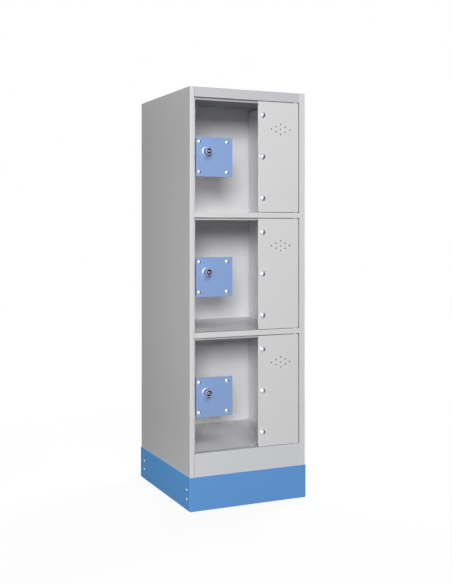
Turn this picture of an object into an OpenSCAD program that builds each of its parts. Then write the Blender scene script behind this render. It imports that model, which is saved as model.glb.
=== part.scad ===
// Locker with three compartments, clear doors and a plinth.
// X runs along the front, Y from the front to the back, and Z up from the floor.

/* [Body] */
// Width of the body
body_w = 400; // [380:5:500]
// Depth of the body, from its front face to its rear edge
body_d = 450; // [360:10:600]
// Height of the body above the plinth
body_h = 1200; // [1140:10:1500]
// Thickness of the body's sheet steel
sheet_t = 1; // [0.8:0.1:1.2]
// Inner radius of each fold
bend_r = 1; // [0.6:0.1:1.3]
// Width of the left front post
post_left_w = 15; // [12:1:22]
// Width of the right front post
post_right_w = 21; // [18:1:30]
// Height of the rail above the highest door
top_rail_h = 31; // [24:1:45]
// Height of the rail in front of each shelf
shelf_rail_h = 17; // [16:1:26]
// Height of the rail below the lowest door
bottom_rail_h = 75; // [50:5:100]
// Width of the stop lip that shows inside the opening
stop_lip_w = 7; // [5:0.5:8]
// Space between a closed door and its stop lip
stop_gap = 0.5; // [0.3:0.1:1]
// Width of the flanges that join roof, shelves and floor to the sides
flange_w = 14; // [10:1:15]
// Width of the hem at the rear edge of each side
hem_w = 12; // [8:1:18]
// Space between the back panel and the rear edge of the sides
back_recess = 35; // [30:1:60]
// Space between the back panel's folded rim and the rear edge
back_rim_gap = 5; // [3:1:8]
// Width of the foot flanges that rest on the plinth
foot_w = 20; // [19:1:24]
// Space between two neighbouring foot flanges
foot_gap = 10; // [5:1:20]

/* [Wall fixing] */
// Diameter of each wall hole in the back panel
wall_hole_d = 8.5; // [5:0.5:12]
// Distance between the two wall holes
wall_hole_pitch = 200; // [100:10:320]
// Distance from the roof down to the wall holes
wall_hole_drop = 150; // [30:5:200]

/* [Plinth] */
// Height of the ledge that carries the body
plinth_h = 100; // [80:5:150]
// Thickness of the plinth's sheet steel
plinth_t = 1.5; // [1:0.1:2]
// Height by which the skirt overlaps the body
plinth_lap = 4; // [2:0.5:8]
// Width of the plinth's ledges and foot flanges
ledge_w = 25; // [24:1:34]
// Depth of the corner returns inside the side skirts
corner_return_d = 50; // [44:1:80]
// Distance from the front skirt to the front rivets
rivet_front = 23; // [12:1:32]
// Distance from the back skirt to the rear rivets
rivet_back = 36; // [12:1:38]
// Height of the lower rivets
rivet_z = 35; // [15:1:40]
// Distance between the two rivets of a corner
rivet_pitch = 29; // [16:1:34]
// Diameter of a rivet's shank
rivet_d = 4; // [3:0.5:5]
// Diameter of a rivet's head
rivet_head_d = 8; // [6:0.5:10]
// Height of a rivet's head
rivet_head_h = 1.5; // [1:0.1:2.5]
// Diameter of the bolts between body and plinth
foot_bolt_d = 6; // [5:0.5:6.5]
// Distance between the two foot bolts of the front or the back
foot_bolt_pitch = 220; // [100:10:260]
// Distance from the front face to the first foot bolt of a side
foot_bolt_front = 90; // [50:5:130]
// Distance from the back panel to the last foot bolt of a side
foot_bolt_back = 60; // [30:5:120]

/* [Door] */
// Gap round each door
door_gap = 2; // [1.5:0.1:2.5]
// Width of the steel leaf
leaf_w = 144; // [120:1:150]
// Depth of the leaf's fold in front of the pane
fold_d = 7; // [5:0.5:9]
// Width by which the leaf overlaps the pane
leaf_overlap = 30; // [24:1:34]
// Width of the hem behind the hinge edge
leaf_hem_w = 15; // [8:1:20]
// Height of the leaf's end that has no fold
fold_end = 10; // [5:1:14]
// Thickness of the clear pane
pane_t = 5; // [4:0.5:6]
// Corner radius of the pane
pane_corner_r = 2; // [1:0.5:6]
// Space between the pane and the leaf's end flanges
pane_side_gap = 4; // [2:0.5:8]

/* [Hinge] */
// Distance from the door's hinge edge to the pin axis
hinge_inset = 10; // [9:0.5:12]
// Distance from the front face to the pin axis
hinge_setback = 7; // [6.5:0.1:7.5]
// Diameter of the hinge pins
pin_d = 6; // [5:0.1:6.5]
// Diameter of the collar that holds a pin in the leaf
pin_collar_d = 7.6; // [7.2:0.1:8]
// Height of the collar
pin_collar_h = 3; // [2:0.5:5]
// Wall of a bush
bush_wall = 0.9; // [0.7:0.1:1.1]
// Diameter of a bush's flange
bush_flange_d = 11; // [10:0.5:12]
// Length of a bush's sleeve
bush_len = 3; // [2:0.5:4]
// Length of pin that stands out of its bush
pin_end = 1; // [0.5:0.5:1.5]
// Distance from the pin axis to the end of the stop lip
lip_end_gap = 24; // [18:1:40]

/* [Pane fixing] */
// Thickness of the backing strip
strip_t = 2; // [1.5:0.5:3]
// Space between the strip's edges and the overlap's edges
strip_margin = 4; // [2:0.5:5]
// Distance from the opening's ends to the strip's ends
strip_inset = 12; // [10:1:30]
// Diameter of the pane bolts
pane_bolt_d = 8; // [6:0.5:9]
// Diameter of their domed heads
pane_bolt_head_d = 20; // [16:0.5:24]
// Height of their domed heads
pane_bolt_head_h = 5.5; // [3:0.5:7]
// Distance from the leaf's free edge to the pane bolts
pane_bolt_inset = 15; // [12:0.5:16]
// Distance from the opening's ends to the outer pane bolts
pane_bolt_margin = 45.2; // [38:0.1:60]

/* [Vent] */
// Diameter of the vent holes
vent_hole_d = 4.5; // [3:0.5:7]
// Distance from one column of holes to the next
vent_pitch_x = 16.3; // [10:0.1:18]
// Distance from one hole to the next in a column
vent_pitch_z = 16.2; // [10:0.1:24]
// Distance from the hinge edge to the middle of the vent
vent_inset = 65; // [52:0.5:66]
// Distance from the opening's top to the middle of the vent
vent_drop = 88; // [50:1:150]

/* [Lock plate] */
// Width of the lock plate
plate_w = 122; // [118:1:140]
// Height of the lock plate
plate_h = 122; // [118:1:140]
// Thickness of the lock plate
plate_t = 3; // [2:0.5:4]
// Corner radius of the lock plate
plate_corner_r = 2.5; // [1:0.5:6]
// Distance from the door's free edge to the plate
plate_inset = 5.5; // [3:0.5:7]
// Distance from the opening's top to the plate's centre
plate_drop = 183; // [120:1:220]
// Diameter of the plate screws
plate_screw_d = 5; // [4:0.5:5.5]
// Diameter of their domed heads
plate_screw_head_d = 12; // [9:0.5:14]
// Height of their domed heads
plate_screw_head_h = 3; // [2:0.5:4]
// Distance from the plate's free-edge side to its screws
screw_left = 10; // [9.5:0.5:12]
// Distance from the plate's other side to its screws
screw_right = 18.5; // [17:0.5:24]
// Distance from the plate's top and bottom to its screws
screw_edge = 14.5; // [13:0.5:20]

/* [Lock] */
// Distance from the plate's free-edge side to the lock axis
lock_inset = 33.5; // [32:0.5:38]
// Height of the lock axis above the plate's centre
lock_rise = 16; // [4:1:22]
// Diameter of the barrel's flange
barrel_flange_d = 29; // [26:0.5:32]
// Thickness of the barrel's flange
barrel_flange_t = 3; // [2:0.5:5]
// Diameter of the barrel's nose
nose_d = 22; // [21:0.5:26]
// Length of the barrel's nose in front of its flange
nose_len = 22; // [8:0.5:26]
// Outer diameter of the barrel inside the door
barrel_d = 21; // [19:0.5:22]
// Length of the barrel behind the pane
barrel_tail = 6; // [5.5:0.1:8]
// Thickness of the barrel's nut
barrel_nut_t = 5; // [3:0.5:5]
// Width across the flats of the barrel's nut
barrel_nut_af = 27; // [25:0.5:28]
// Diameter of the plug
plug_d = 17; // [12:0.5:17]
// Width of the key slot, which lies level
key_w = 10; // [6:0.5:11]
// Height of the key slot
key_h = 2.4; // [1.5:0.1:3]
// Depth of the key slot
key_depth = 9; // [4:0.5:14]
// Thickness of the cam
cam_t = 3; // [2:0.5:4]
// Width of the cam's rim outside its drive pin
cam_rim = 2; // [1:0.5:3]
// Diameter of the drive pin
drive_pin_d = 5; // [4:0.5:6]
// Distance that the bolt slides
bolt_travel = 22; // [18:0.5:22]
// Thickness of the bolt
bolt_t = 6; // [4:0.5:8]
// Height of the bolt below the lock axis
bolt_below = 4; // [2:0.5:8]
// Height of the bolt above the lock axis
bolt_above = 24; // [22:0.5:28]
// Distance from the case's side to the tip of the drawn-back bolt
bolt_tip_recess = 1; // [0.5:0.1:1.5]
// Length of the bolt that always stays past its guide rib
bolt_tail_rest = 3; // [2:0.5:6]

/* [Lock case] */
// Distance from the door's free edge to the case
case_inset = 8.5; // [8:0.1:8.8]
// Width of the case
case_w = 108; // [106:1:112]
// Height of the case
case_h = 108; // [106:1:112]
// Depth of the case
case_d = 35; // [30:1:38]
// Wall of the case
case_t = 1.5; // [1:0.1:1.6]
// Diameter of the hole round the barrel's nut
case_hole_d = 34; // [33:0.5:38]
// Distance from the lock axis to the guide rib
rib_inset = 24; // [23:0.5:28]
// Height of the lips inside the case cover
cover_lip = 8; // [4:0.5:10]

/* [Keeper] */
// Thickness of a keeper
keeper_t = 2; // [1.5:0.5:3]
// Height of a keeper
keeper_h = 60; // [40:1:100]
// Depth of the keeper's foot on the side panel
keeper_d = 30; // [20:1:31]
// Width of the keeper's striking face
keeper_reach = 18; // [12:1:19]
// Space between the keeper and the bolt
keeper_gap = 0.5; // [0.3:0.1:1]

/* [Fits] */
// Radial clearance of a shaft that turns in its hole
run_clear = 0.05; // [0.03:0.01:0.09]
// Radial clearance of a fastener in its hole
hole_clear = 0.25; // [0.1:0.05:0.4]
// Clearance round a sliding or seated piece
seat_gap = 0.3; // [0.2:0.05:0.4]
// Length of thread that shows past a nut
thread_end = 1.5; // [1:0.5:2.5]

/* [Hidden] */
// Width across flats and height of nuts and hex heads, as shares of the thread's diameter
nut_af_share = 1.65;
nut_h_share = 0.8;
head_h_share = 0.7;
// Diameter and height of a rivet's formed tail, as shares of its shank
tail_d_share = 1.5;
tail_h_share = 0.5;
// How far a crank's straight-line error reaches over a quarter turn, as a share of its radius
crank_bow_share = 0.032;

// Overrun of every cut
over = 1;
// Facets of round shapes, steps in each fold, and steps in each domed head
$fn = 48;
fold_steps = 4;
dome_steps = 8;

door_names = ["upper", "middle", "lower"];
door_pieces = [
    "leaf", "pane", "backing_strip", "pane_bolts", "pane_nuts", "lock_plate", "plate_screws",
    "lock_nuts", "lock_case", "case_cover", "lock_barrel", "lock_plug", "lock_bolt", "hinge_pins"
];
carcass_pieces = [
    "side_panel_left", "side_panel_right", "back_panel", "top_panel", "shelf_upper", "shelf_lower",
    "bottom_panel", "hinge_bushes", "bolt_keepers", "plinth_front", "plinth_back", "plinth_left",
    "plinth_right", "plinth_rivets", "foot_bolts", "foot_nuts"
];

// Door depth, and the depth at which the stop lips stand
door_d = fold_d + pane_t;
stop_d = door_d + stop_gap;

// Front to back: the lock's nose and the plinth's back are equally far from the origin
lock_reach = nose_len + barrel_flange_t + plate_t - fold_d;
face_y = (lock_reach - plinth_t - body_d) / 2;
rear_y = face_y + body_d;
back_y = rear_y - back_recess;

// Left to right
side_x0 = -body_w / 2;
side_x1 = body_w / 2;
inner_x0 = side_x0 + sheet_t;
inner_x1 = side_x1 - sheet_t;
open_x0 = side_x0 + post_left_w;
open_x1 = side_x1 - post_right_w;
door_x0 = open_x0 + door_gap;
door_x1 = open_x1 - door_gap;
leaf_x0 = door_x1 - leaf_w;
pane_x1 = leaf_x0 + leaf_overlap;
pin_x = door_x1 - hinge_inset;
lip_x0 = open_x0 + stop_lip_w;
lip_x1 = pin_x - lip_end_gap;

// Bottom to top
top_z = plinth_h + body_h;
door_count = len(door_names);
opening_h = (body_h - top_rail_h - bottom_rail_h - (door_count - 1) * shelf_rail_h) / door_count;
floor_z = plinth_h + bottom_rail_h;
door_h = opening_h - 2 * door_gap;

// Lock plate, case and lock on a door, with heights above the opening's bottom
plate_x0 = door_x0 + plate_inset;
plate_z = opening_h - plate_drop;
case_x0 = door_x0 + case_inset;
lock_x = plate_x0 + lock_inset;
lock_z = plate_z + lock_rise;
screw_xs = [plate_x0 + screw_left, plate_x0 + plate_w - screw_right];
screw_zs = [plate_z - plate_h / 2 + screw_edge, plate_z + plate_h / 2 - screw_edge];
plate_front_d = fold_d - plate_t;
nose_front_d = plate_front_d - barrel_flange_t - nose_len;
barrel_end_d = door_d + barrel_tail;
cam_d = barrel_end_d + seat_gap;
bolt_front_d = cam_d + cam_t + seat_gap;
bolt_back_d = bolt_front_d + bolt_t;
crank_r = bolt_travel / sqrt(2);
rib_x = lock_x + rib_inset;
bolt_x0 = case_x0 + bolt_tip_recess;
bolt_x1 = rib_x + case_t + bolt_travel + bolt_tail_rest;
slot_half_w = drive_pin_d / 2 + crank_r * crank_bow_share + seat_gap;

// Depth of the nuts behind the case's front wall
plate_nut_d = door_d + case_t;

// Heights of the pane bolts above the opening's bottom
pane_bolt_pitch = opening_h / 2 - pane_bolt_margin;
pane_bolt_zs = [for (k = [-1:1]) opening_h / 2 + k * pane_bolt_pitch];

// Bush flanges fill the door gap up to the seat clearance
bush_flange_t = door_gap - seat_gap;
bush_d = pin_d + 2 * run_clear + 2 * bush_wall;

// Depths of the plinth's rivets behind the body's front face
rivet_front_d = rivet_front - plinth_t;
rivet_back_d = body_d + plinth_t - rivet_back;

// Foot bolts as pairs of X and Y
foot_bolt_places = [
    for (x = [-foot_bolt_pitch / 2, foot_bolt_pitch / 2])
        for (y = [back(ledge_w / 2), rear_y - ledge_w / 2]) [x, y],
    for (x = [side_x0 + ledge_w / 2, side_x1 - ledge_w / 2])
        for (y = [back(foot_bolt_front), back_y - foot_bolt_back]) [x, y]
];

// Y of a point that lies d behind the body's front face
function back(d) = face_y + d;

// Height of an opening's bottom, counted from the highest door
function opening_z(i) = floor_z + (door_count - 1 - i) * (opening_h + shelf_rail_h);

// Direction from one point to another, and that direction turned a quarter to the left
function way(a, b) = (b - a) / norm(b - a);
function left_of(d) = [-d.y, d.x];

// Round stretch of one skin of a folded sheet at the path's corner i.
// The corners are square, and side is 1 for the left skin and -1 for the right.
function fold_points(path, i, side, t) =
    let (
        d0 = way(path[i - 1], path[i]),
        d1 = way(path[i], path[i + 1]),
        middle_r = bend_r + t / 2,
        r = middle_r - side * sign(cross(d0, d1)) * t / 2,
        centre = path[i] + middle_r * (d1 - d0)
    )
    [for (s = [0:fold_steps])
        let (a = 90 * s / fold_steps) centre + r * (d0 * sin(a) - d1 * cos(a))];

// One skin of a folded sheet, from the first to the last point of its middle line
function skin(path, side, t) =
    let (n = len(path) - 1)
    [for (i = [0:n])
        each (
            i == 0 ? [path[0] + side * t / 2 * left_of(way(path[0], path[1]))]
            : i == n ? [path[n] + side * t / 2 * left_of(way(path[n - 1], path[n]))]
            : fold_points(path, i, side, t)
        )];

function reversed(list) = [for (i = [len(list) - 1:-1:0]) list[i]];

// Outline of a domed head: a cap of diameter d and height h
function dome_outline(d, h) =
    let (r = (d * d / 4 + h * h) / (2 * h), rim = asin(d / 2 / r))
    concat([[0, 0]], [for (i = [0:dome_steps])
        let (a = rim * (1 - i / dome_steps)) [r * sin(a), r * cos(a) - r + h]]);

// Section of a folded sheet along its middle line
module sheet_section(path, t = sheet_t) {
    polygon(concat(skin(path, 1, t), reversed(skin(path, -1, t))));
}

// A section drawn in X and Y, carried up Z
module along_z(z) {
    translate([0, 0, z[0]]) linear_extrude(z[1] - z[0]) children();
}

// A section drawn in Y and Z, carried along X
module along_x(x) {
    translate([x[0], 0, 0]) rotate([90, 0, 90]) linear_extrude(x[1] - x[0]) children();
}

// A section drawn in X and Z, carried along Y
module along_y(y) {
    translate([0, y[1], 0]) rotate([90, 0, 0]) linear_extrude(y[1] - y[0]) children();
}

// A block between two values on each axis
module block(x, y, z) {
    translate([x[0], y[0], z[0]]) cube([x[1] - x[0], y[1] - y[0], z[1] - z[0]]);
}

// Round bars along each axis
module bar_x(y, z, x, d) {
    translate([x[0], y, z]) rotate([0, 90, 0]) cylinder(d = d, h = x[1] - x[0]);
}

module bar_y(x, z, y, d) {
    translate([x, y[1], z]) rotate([90, 0, 0]) cylinder(d = d, h = y[1] - y[0]);
}

module bar_z(x, y, z, d) {
    translate([x, y, z[0]]) cylinder(d = d, h = z[1] - z[0]);
}

// Hexagons along Y and Z, af wide across the flats
module hex_y(x, z, y, af) {
    translate([x, y[1], z]) rotate([90, 0, 0]) cylinder(d = af / cos(30), h = y[1] - y[0], $fn = 6);
}

module hex_z(x, y, z, af) {
    translate([x, y, z[0]]) cylinder(d = af / cos(30), h = z[1] - z[0], $fn = 6);
}

module dome(d, h) {
    rotate_extrude() polygon(dome_outline(d, h));
}

// A rectangle from corner a to corner b with round corners of radius r
module round_rect(a, b, r) {
    difference() {
        translate(a) square(b - a);
        for (x = [a.x, b.x]) for (y = [a.y, b.y]) translate([x, y]) difference() {
            square(2 * r, center = true);
            translate([x == a.x ? r : -r, y == a.y ? r : -r]) circle(r);
        }
    }
}

// Holes of the foot bolts through every sheet between two heights
module foot_bolt_holes(z) {
    for (p = foot_bolt_places) bar_z(p.x, p.y, z, foot_bolt_d + 2 * hole_clear);
}

// Holes of a corner's rivets through the left skirt, at one distance from the body's front face
module rivet_holes(d) {
    for (z = [rivet_z, rivet_z + rivet_pitch])
        bar_x(back(d), z, [side_x0 - plinth_t - over, side_x0 + plinth_t + over],
            rivet_d + 2 * run_clear);
}

// A side's inward foot flange on the plinth, on the left
module side_foot() {
    block([side_x0 + sheet_t / 2, side_x0 + foot_w],
        [back(foot_w + foot_gap), back_y - foot_gap], [plinth_h, plinth_h + sheet_t]);
}

// Room for the roof in the upper end of a side
module roof_room() {
    block([inner_x0, inner_x1], [back(sheet_t), rear_y + over],
        [top_z - sheet_t - bend_r, top_z + over]);
}

// Left side, post and stop lip: one folded sheet
module side_panel_left() {
    color("gainsboro") difference() {
        union() {
            along_z([plinth_h, top_z]) sheet_section([
                [lip_x0, back(stop_d + sheet_t / 2)],
                [open_x0 - sheet_t / 2, back(stop_d + sheet_t / 2)],
                [open_x0 - sheet_t / 2, back(sheet_t / 2)],
                [side_x0 + sheet_t / 2, back(sheet_t / 2)],
                [side_x0 + sheet_t / 2, rear_y - sheet_t / 2],
                [side_x0 + hem_w, rear_y - sheet_t / 2]
            ]);
            side_foot();
        }
        roof_room();
        foot_bolt_holes([plinth_h - over, plinth_h + sheet_t + over]);
    }
}

// Right side and post, without a return, which leaves room for the doors' hinge edges
module side_panel_right() {
    color("gainsboro") difference() {
        union() {
            along_z([plinth_h, top_z]) sheet_section([
                [open_x1, back(sheet_t / 2)],
                [side_x1 - sheet_t / 2, back(sheet_t / 2)],
                [side_x1 - sheet_t / 2, rear_y - sheet_t / 2],
                [side_x1 - hem_w, rear_y - sheet_t / 2]
            ]);
            mirror([1, 0, 0]) side_foot();
        }
        roof_room();
        foot_bolt_holes([plinth_h - over, plinth_h + sheet_t + over]);
    }
}

// Back panel: a shallow pan whose rim is turned to the rear
module back_panel() {
    rim_y = rear_y - back_rim_gap;
    color("gainsboro") difference() {
        union() {
            along_z([plinth_h, top_z - sheet_t]) sheet_section([
                [inner_x0 + sheet_t / 2, rim_y],
                [inner_x0 + sheet_t / 2, back_y + sheet_t / 2],
                [inner_x1 - sheet_t / 2, back_y + sheet_t / 2],
                [inner_x1 - sheet_t / 2, rim_y]
            ]);
            for (z = [plinth_h, top_z - 2 * sheet_t])
                block([inner_x0 + sheet_t, inner_x1 - sheet_t], [back_y + sheet_t / 2, rim_y],
                    [z, z + sheet_t]);
        }
        foot_bolt_holes([plinth_h - over, plinth_h + sheet_t + over]);
        for (x = [-wall_hole_pitch / 2, wall_hole_pitch / 2])
            bar_y(x, top_z - wall_hole_drop, [back_y - over, back_y + sheet_t + over], wall_hole_d);
    }
}

// Roof, shelf or floor with its front rail. z is its top, return_d the depth of the rail's
// lower return, lip_h the height of the stop lip below it, end_y its rear edge, and room_z
// the height up to which its front left corner leaves room for the post.
module deck(z, rail_h, return_d, lip_h, end_y, room_z) {
    rail_z = z - rail_h;
    low_z = rail_z - lip_h - over;
    return_end = back(return_d);
    lip = lip_h > 0 ? [[return_end - sheet_t / 2, rail_z - lip_h]] : [];
    return_y = lip_h > 0 ? return_end - sheet_t / 2 : return_end;
    difference() {
        union() {
            along_x([inner_x0, inner_x1]) sheet_section(concat(lip, [
                [return_y, rail_z + sheet_t / 2],
                [back(sheet_t / 2), rail_z + sheet_t / 2],
                [back(sheet_t / 2), z - sheet_t / 2],
                [end_y - sheet_t / 2, z - sheet_t / 2],
                [end_y - sheet_t / 2, z - flange_w]
            ]));
            for (x = [inner_x0, inner_x1 - sheet_t])
                block([x, x + sheet_t], [back(stop_d + 2 * sheet_t + bend_r), back_y - sheet_t],
                    [z - flange_w, z - sheet_t / 2]);
        }
        // the posts' front faces
        block([side_x0, open_x0], [face_y - over, back(sheet_t)], [low_z, z + over]);
        block([open_x1, side_x1], [face_y - over, back(sheet_t)], [low_z, z + over]);
        // the left post's return and stop lip
        block([side_x0, lip_x0], [back(sheet_t), back(stop_d + sheet_t)], [low_z, room_z]);
        // the rail ends at the right post
        block([open_x1, side_x1], [face_y - over, return_end + over],
            [low_z, z - sheet_t - bend_r]);
        // the stop lip ends before the hinge
        block([lip_x1, open_x1 + over], [face_y - over, return_end + over], [low_z, rail_z]);
        // the folds of the sides
        for (x = [inner_x0 - over, inner_x1 - bend_r])
            block([x, x + bend_r + over], [face_y, back(sheet_t + bend_r)], [low_z, z + over]);
    }
}

// A hole for a bush through one sheet, whose lower face is at z
module bush_hole(z) {
    bar_z(pin_x, back(hinge_setback), [z - over, z + sheet_t + over], bush_d + 2 * run_clear);
}

module top_panel() {
    color("gainsboro") difference() {
        deck(top_z, top_rail_h, stop_d + sheet_t, stop_lip_w, rear_y, top_z - sheet_t - bend_r);
        bush_hole(top_z - top_rail_h);
        for (x = [side_x0, side_x1 - hem_w])
            block([x, x + hem_w], [rear_y - sheet_t - bend_r, rear_y + over],
                [top_z - flange_w - over, top_z - sheet_t - bend_r]);
    }
}

// Shelf above the opening with this number
module shelf(i) {
    z = opening_z(i - 1);
    color("gainsboro") difference() {
        deck(z, shelf_rail_h, stop_d + sheet_t, stop_lip_w, back_y, z + over);
        bush_hole(z - sheet_t);
        bush_hole(z - shelf_rail_h);
    }
}

module shelf_upper() {
    shelf(1);
}

module shelf_lower() {
    shelf(2);
}

module bottom_panel() {
    color("gainsboro") difference() {
        deck(floor_z, bottom_rail_h, foot_w, 0, back_y, floor_z + over);
        bush_hole(floor_z - sheet_t);
        foot_bolt_holes([plinth_h - over, plinth_h + sheet_t + over]);
    }
}

// One bush in a sheet whose upper face is at zero, with its flange on top
module bush() {
    difference() {
        union() {
            cylinder(d = bush_flange_d, h = bush_flange_t);
            translate([0, 0, -bush_len]) cylinder(d = bush_d, h = bush_len + bush_flange_t / 2);
        }
        translate([0, 0, -bush_len - over])
            cylinder(d = pin_d + 2 * run_clear, h = bush_len + bush_flange_t + 2 * over);
    }
}

module hinge_bushes() {
    color("whitesmoke") for (i = [0:door_count - 1])
        translate([pin_x, back(hinge_setback), opening_z(i)]) {
            bush();
            translate([0, 0, opening_h]) mirror([0, 0, 1]) bush();
        }
}

// Angle brackets that the bolts slide behind
module bolt_keepers() {
    strike_d = bolt_front_d - keeper_gap - keeper_t;
    color("silver") for (i = [0:door_count - 1])
        translate([0, 0, opening_z(i) + lock_z + (bolt_above - bolt_below) / 2 - keeper_h / 2]) {
            block([inner_x0, inner_x0 + keeper_reach], [back(strike_d), back(strike_d + keeper_t)],
                [0, keeper_h]);
            block([inner_x0, inner_x0 + keeper_t], [back(strike_d), back(strike_d + keeper_d)],
                [0, keeper_h]);
        }
}

// Front or back skirt at the front, with rivets at one depth behind the body's front face
module plinth_end(rivets_d) {
    half_w = side_x1 - plinth_t / 2;
    top = plinth_h + plinth_lap;
    difference() {
        union() {
            difference() {
                along_z([0, top]) sheet_section([
                    [-half_w, back(corner_return_d)],
                    [-half_w, face_y - plinth_t / 2],
                    [half_w, face_y - plinth_t / 2],
                    [half_w, back(corner_return_d)]
                ], plinth_t);
                for (z = [[-over, plinth_t + bend_r], [plinth_h - plinth_t, top + over]])
                    block([side_x0 - over, side_x1 + over],
                        [face_y, back(corner_return_d + over)], z);
            }
            for (z = [0, plinth_h - plinth_t])
                block([side_x0 + ledge_w, side_x1 - ledge_w],
                    [face_y - plinth_t / 2, back(ledge_w)], [z, z + plinth_t]);
        }
        rivet_holes(rivets_d);
        mirror([1, 0, 0]) rivet_holes(rivets_d);
        foot_bolt_holes([plinth_h - plinth_t - over, plinth_h + over]);
    }
}

module plinth_front() {
    color("steelblue") plinth_end(rivet_front_d);
}

module plinth_back() {
    color("steelblue") translate([0, face_y + rear_y, 0]) mirror([0, 1, 0])
        plinth_end(body_d - rivet_back_d);
}

// Left skirt with its ledge and foot flange
module plinth_left() {
    color("steelblue") difference() {
        union() {
            along_y([face_y - plinth_t, rear_y + plinth_t]) sheet_section([
                [side_x0 - plinth_t / 2, plinth_h + plinth_lap],
                [side_x0 - plinth_t / 2, plinth_t / 2],
                [side_x0 + plinth_t + bend_r, plinth_t / 2]
            ], plinth_t);
            for (z = [0, plinth_h - plinth_t])
                block([z == 0 ? side_x0 + bend_r : side_x0 - plinth_t / 2, side_x0 + ledge_w],
                    [face_y, rear_y], [z, z + plinth_t]);
        }
        // the front and back skirts close the corners
        for (y = [[face_y - plinth_t - over, face_y], [rear_y, rear_y + plinth_t + over]])
            block([side_x0, side_x0 + ledge_w], y, [-over, plinth_h]);
        rivet_holes(rivet_front_d);
        rivet_holes(rivet_back_d);
        foot_bolt_holes([plinth_h - plinth_t - over, plinth_h + over]);
    }
}

module plinth_right() {
    mirror([1, 0, 0]) plinth_left();
}

// A rivet through the left skirt and the corner return inside it
module plinth_rivet(y, z) {
    translate([side_x0 - plinth_t, y, z]) rotate([0, -90, 0]) dome(rivet_head_d, rivet_head_h);
    bar_x(y, z, [side_x0 - plinth_t, side_x0 + plinth_t], rivet_d);
    bar_x(y, z, [side_x0 + plinth_t, side_x0 + plinth_t + rivet_d * tail_h_share],
        rivet_d * tail_d_share);
}

module plinth_rivets() {
    color("lightsteelblue") for (side = [0, 1]) mirror([side, 0, 0])
        for (d = [rivet_front_d, rivet_back_d])
            for (z = [rivet_z, rivet_z + rivet_pitch])
                plinth_rivet(back(d), z);
}

// Bolts from the body's foot flanges down through the plinth's ledges
module foot_bolts() {
    nut_z = plinth_h - plinth_t - foot_bolt_d * nut_h_share;
    head_z = plinth_h + sheet_t;
    color("silver") for (p = foot_bolt_places) {
        bar_z(p.x, p.y, [nut_z - thread_end, head_z], foot_bolt_d);
        hex_z(p.x, p.y, [head_z, head_z + foot_bolt_d * head_h_share], foot_bolt_d * nut_af_share);
    }
}

module foot_nuts() {
    nut_z = plinth_h - plinth_t - foot_bolt_d * nut_h_share;
    color("silver") for (p = foot_bolt_places) difference() {
        hex_z(p.x, p.y, [nut_z, plinth_h - plinth_t], foot_bolt_d * nut_af_share);
        bar_z(p.x, p.y, [nut_z - over, plinth_h - plinth_t + over], foot_bolt_d + 2 * run_clear);
    }
}

// The pieces of a door follow, with heights above the opening's bottom.
// Holes of the pane bolts through everything between two depths
module pane_bolt_holes(d) {
    for (z = pane_bolt_zs)
        bar_y(leaf_x0 + pane_bolt_inset, z, [back(d[0]), back(d[1])],
            pane_bolt_d + 2 * hole_clear);
}

// Holes of the plate screws through everything between two depths
module plate_screw_holes(d) {
    for (x = screw_xs) for (z = screw_zs)
        bar_y(x, z, [back(d[0]), back(d[1])], plate_screw_d + 2 * hole_clear);
}

// Diamond of vent holes: columns of one, two, three, two and one
module vent_holes() {
    for (column = [-2:2]) {
        count = 3 - abs(column);
        for (k = [0:count - 1])
            bar_y(door_x1 - vent_inset + column * vent_pitch_x,
                opening_h - vent_drop + (k - (count - 1) / 2) * vent_pitch_z,
                [face_y - over, back(sheet_t + over)], vent_hole_d);
    }
}

// Steel leaf: a folded sheet with end flanges that hold the hinge pins
module leaf() {
    z0 = door_gap;
    z1 = door_gap + door_h;
    color("gainsboro") difference() {
        union() {
            along_z([z0, z1]) sheet_section([
                [pane_x1, back(fold_d - sheet_t / 2)],
                [leaf_x0 + sheet_t / 2, back(fold_d - sheet_t / 2)],
                [leaf_x0 + sheet_t / 2, back(sheet_t / 2)],
                [door_x1 - sheet_t / 2, back(sheet_t / 2)],
                [door_x1 - sheet_t / 2, back(door_d - sheet_t / 2)],
                [door_x1 - leaf_hem_w, back(door_d - sheet_t / 2)]
            ]);
            for (z = [z0, z1 - sheet_t])
                block([pane_x1 + pane_side_gap, door_x1 - sheet_t],
                    [back(sheet_t), back(door_d - sheet_t)], [z, z + sheet_t]);
        }
        for (z = [[z0 - over, z0 + fold_end], [z1 - fold_end, z1 + over]])
            block([leaf_x0 - over, pane_x1 + over], [back(sheet_t), back(fold_d + over)], z);
        bar_z(pin_x, back(hinge_setback), [z0 - over, z1 + over], pin_d + 2 * run_clear);
        pane_bolt_holes([-over, fold_d + over]);
        vent_holes();
    }
}

// Clear pane
module pane() {
    color([0.85, 0.92, 0.94, 0.4]) difference() {
        along_y([back(fold_d), back(door_d)])
            round_rect([door_x0, door_gap], [pane_x1, door_gap + door_h], pane_corner_r);
        pane_bolt_holes([fold_d - over, door_d + over]);
        plate_screw_holes([fold_d - over, door_d + over]);
        bar_y(lock_x, lock_z, [back(fold_d - over), back(door_d + over)],
            barrel_d + 2 * hole_clear);
    }
}

// Strip that spreads the bolts' pull over the pane
module backing_strip() {
    color("silver") difference() {
        block([leaf_x0 + strip_margin, pane_x1 - strip_margin], [back(door_d), back(door_d + strip_t)],
            [strip_inset, opening_h - strip_inset]);
        pane_bolt_holes([door_d - over, door_d + strip_t + over]);
    }
}

module pane_bolts() {
    nut_d = door_d + strip_t + pane_bolt_d * nut_h_share;
    color("silver") for (z = pane_bolt_zs) {
        x = leaf_x0 + pane_bolt_inset;
        translate([x, face_y, z]) rotate([90, 0, 0]) dome(pane_bolt_head_d, pane_bolt_head_h);
        bar_y(x, z, [face_y, back(nut_d + thread_end)], pane_bolt_d);
    }
}

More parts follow.
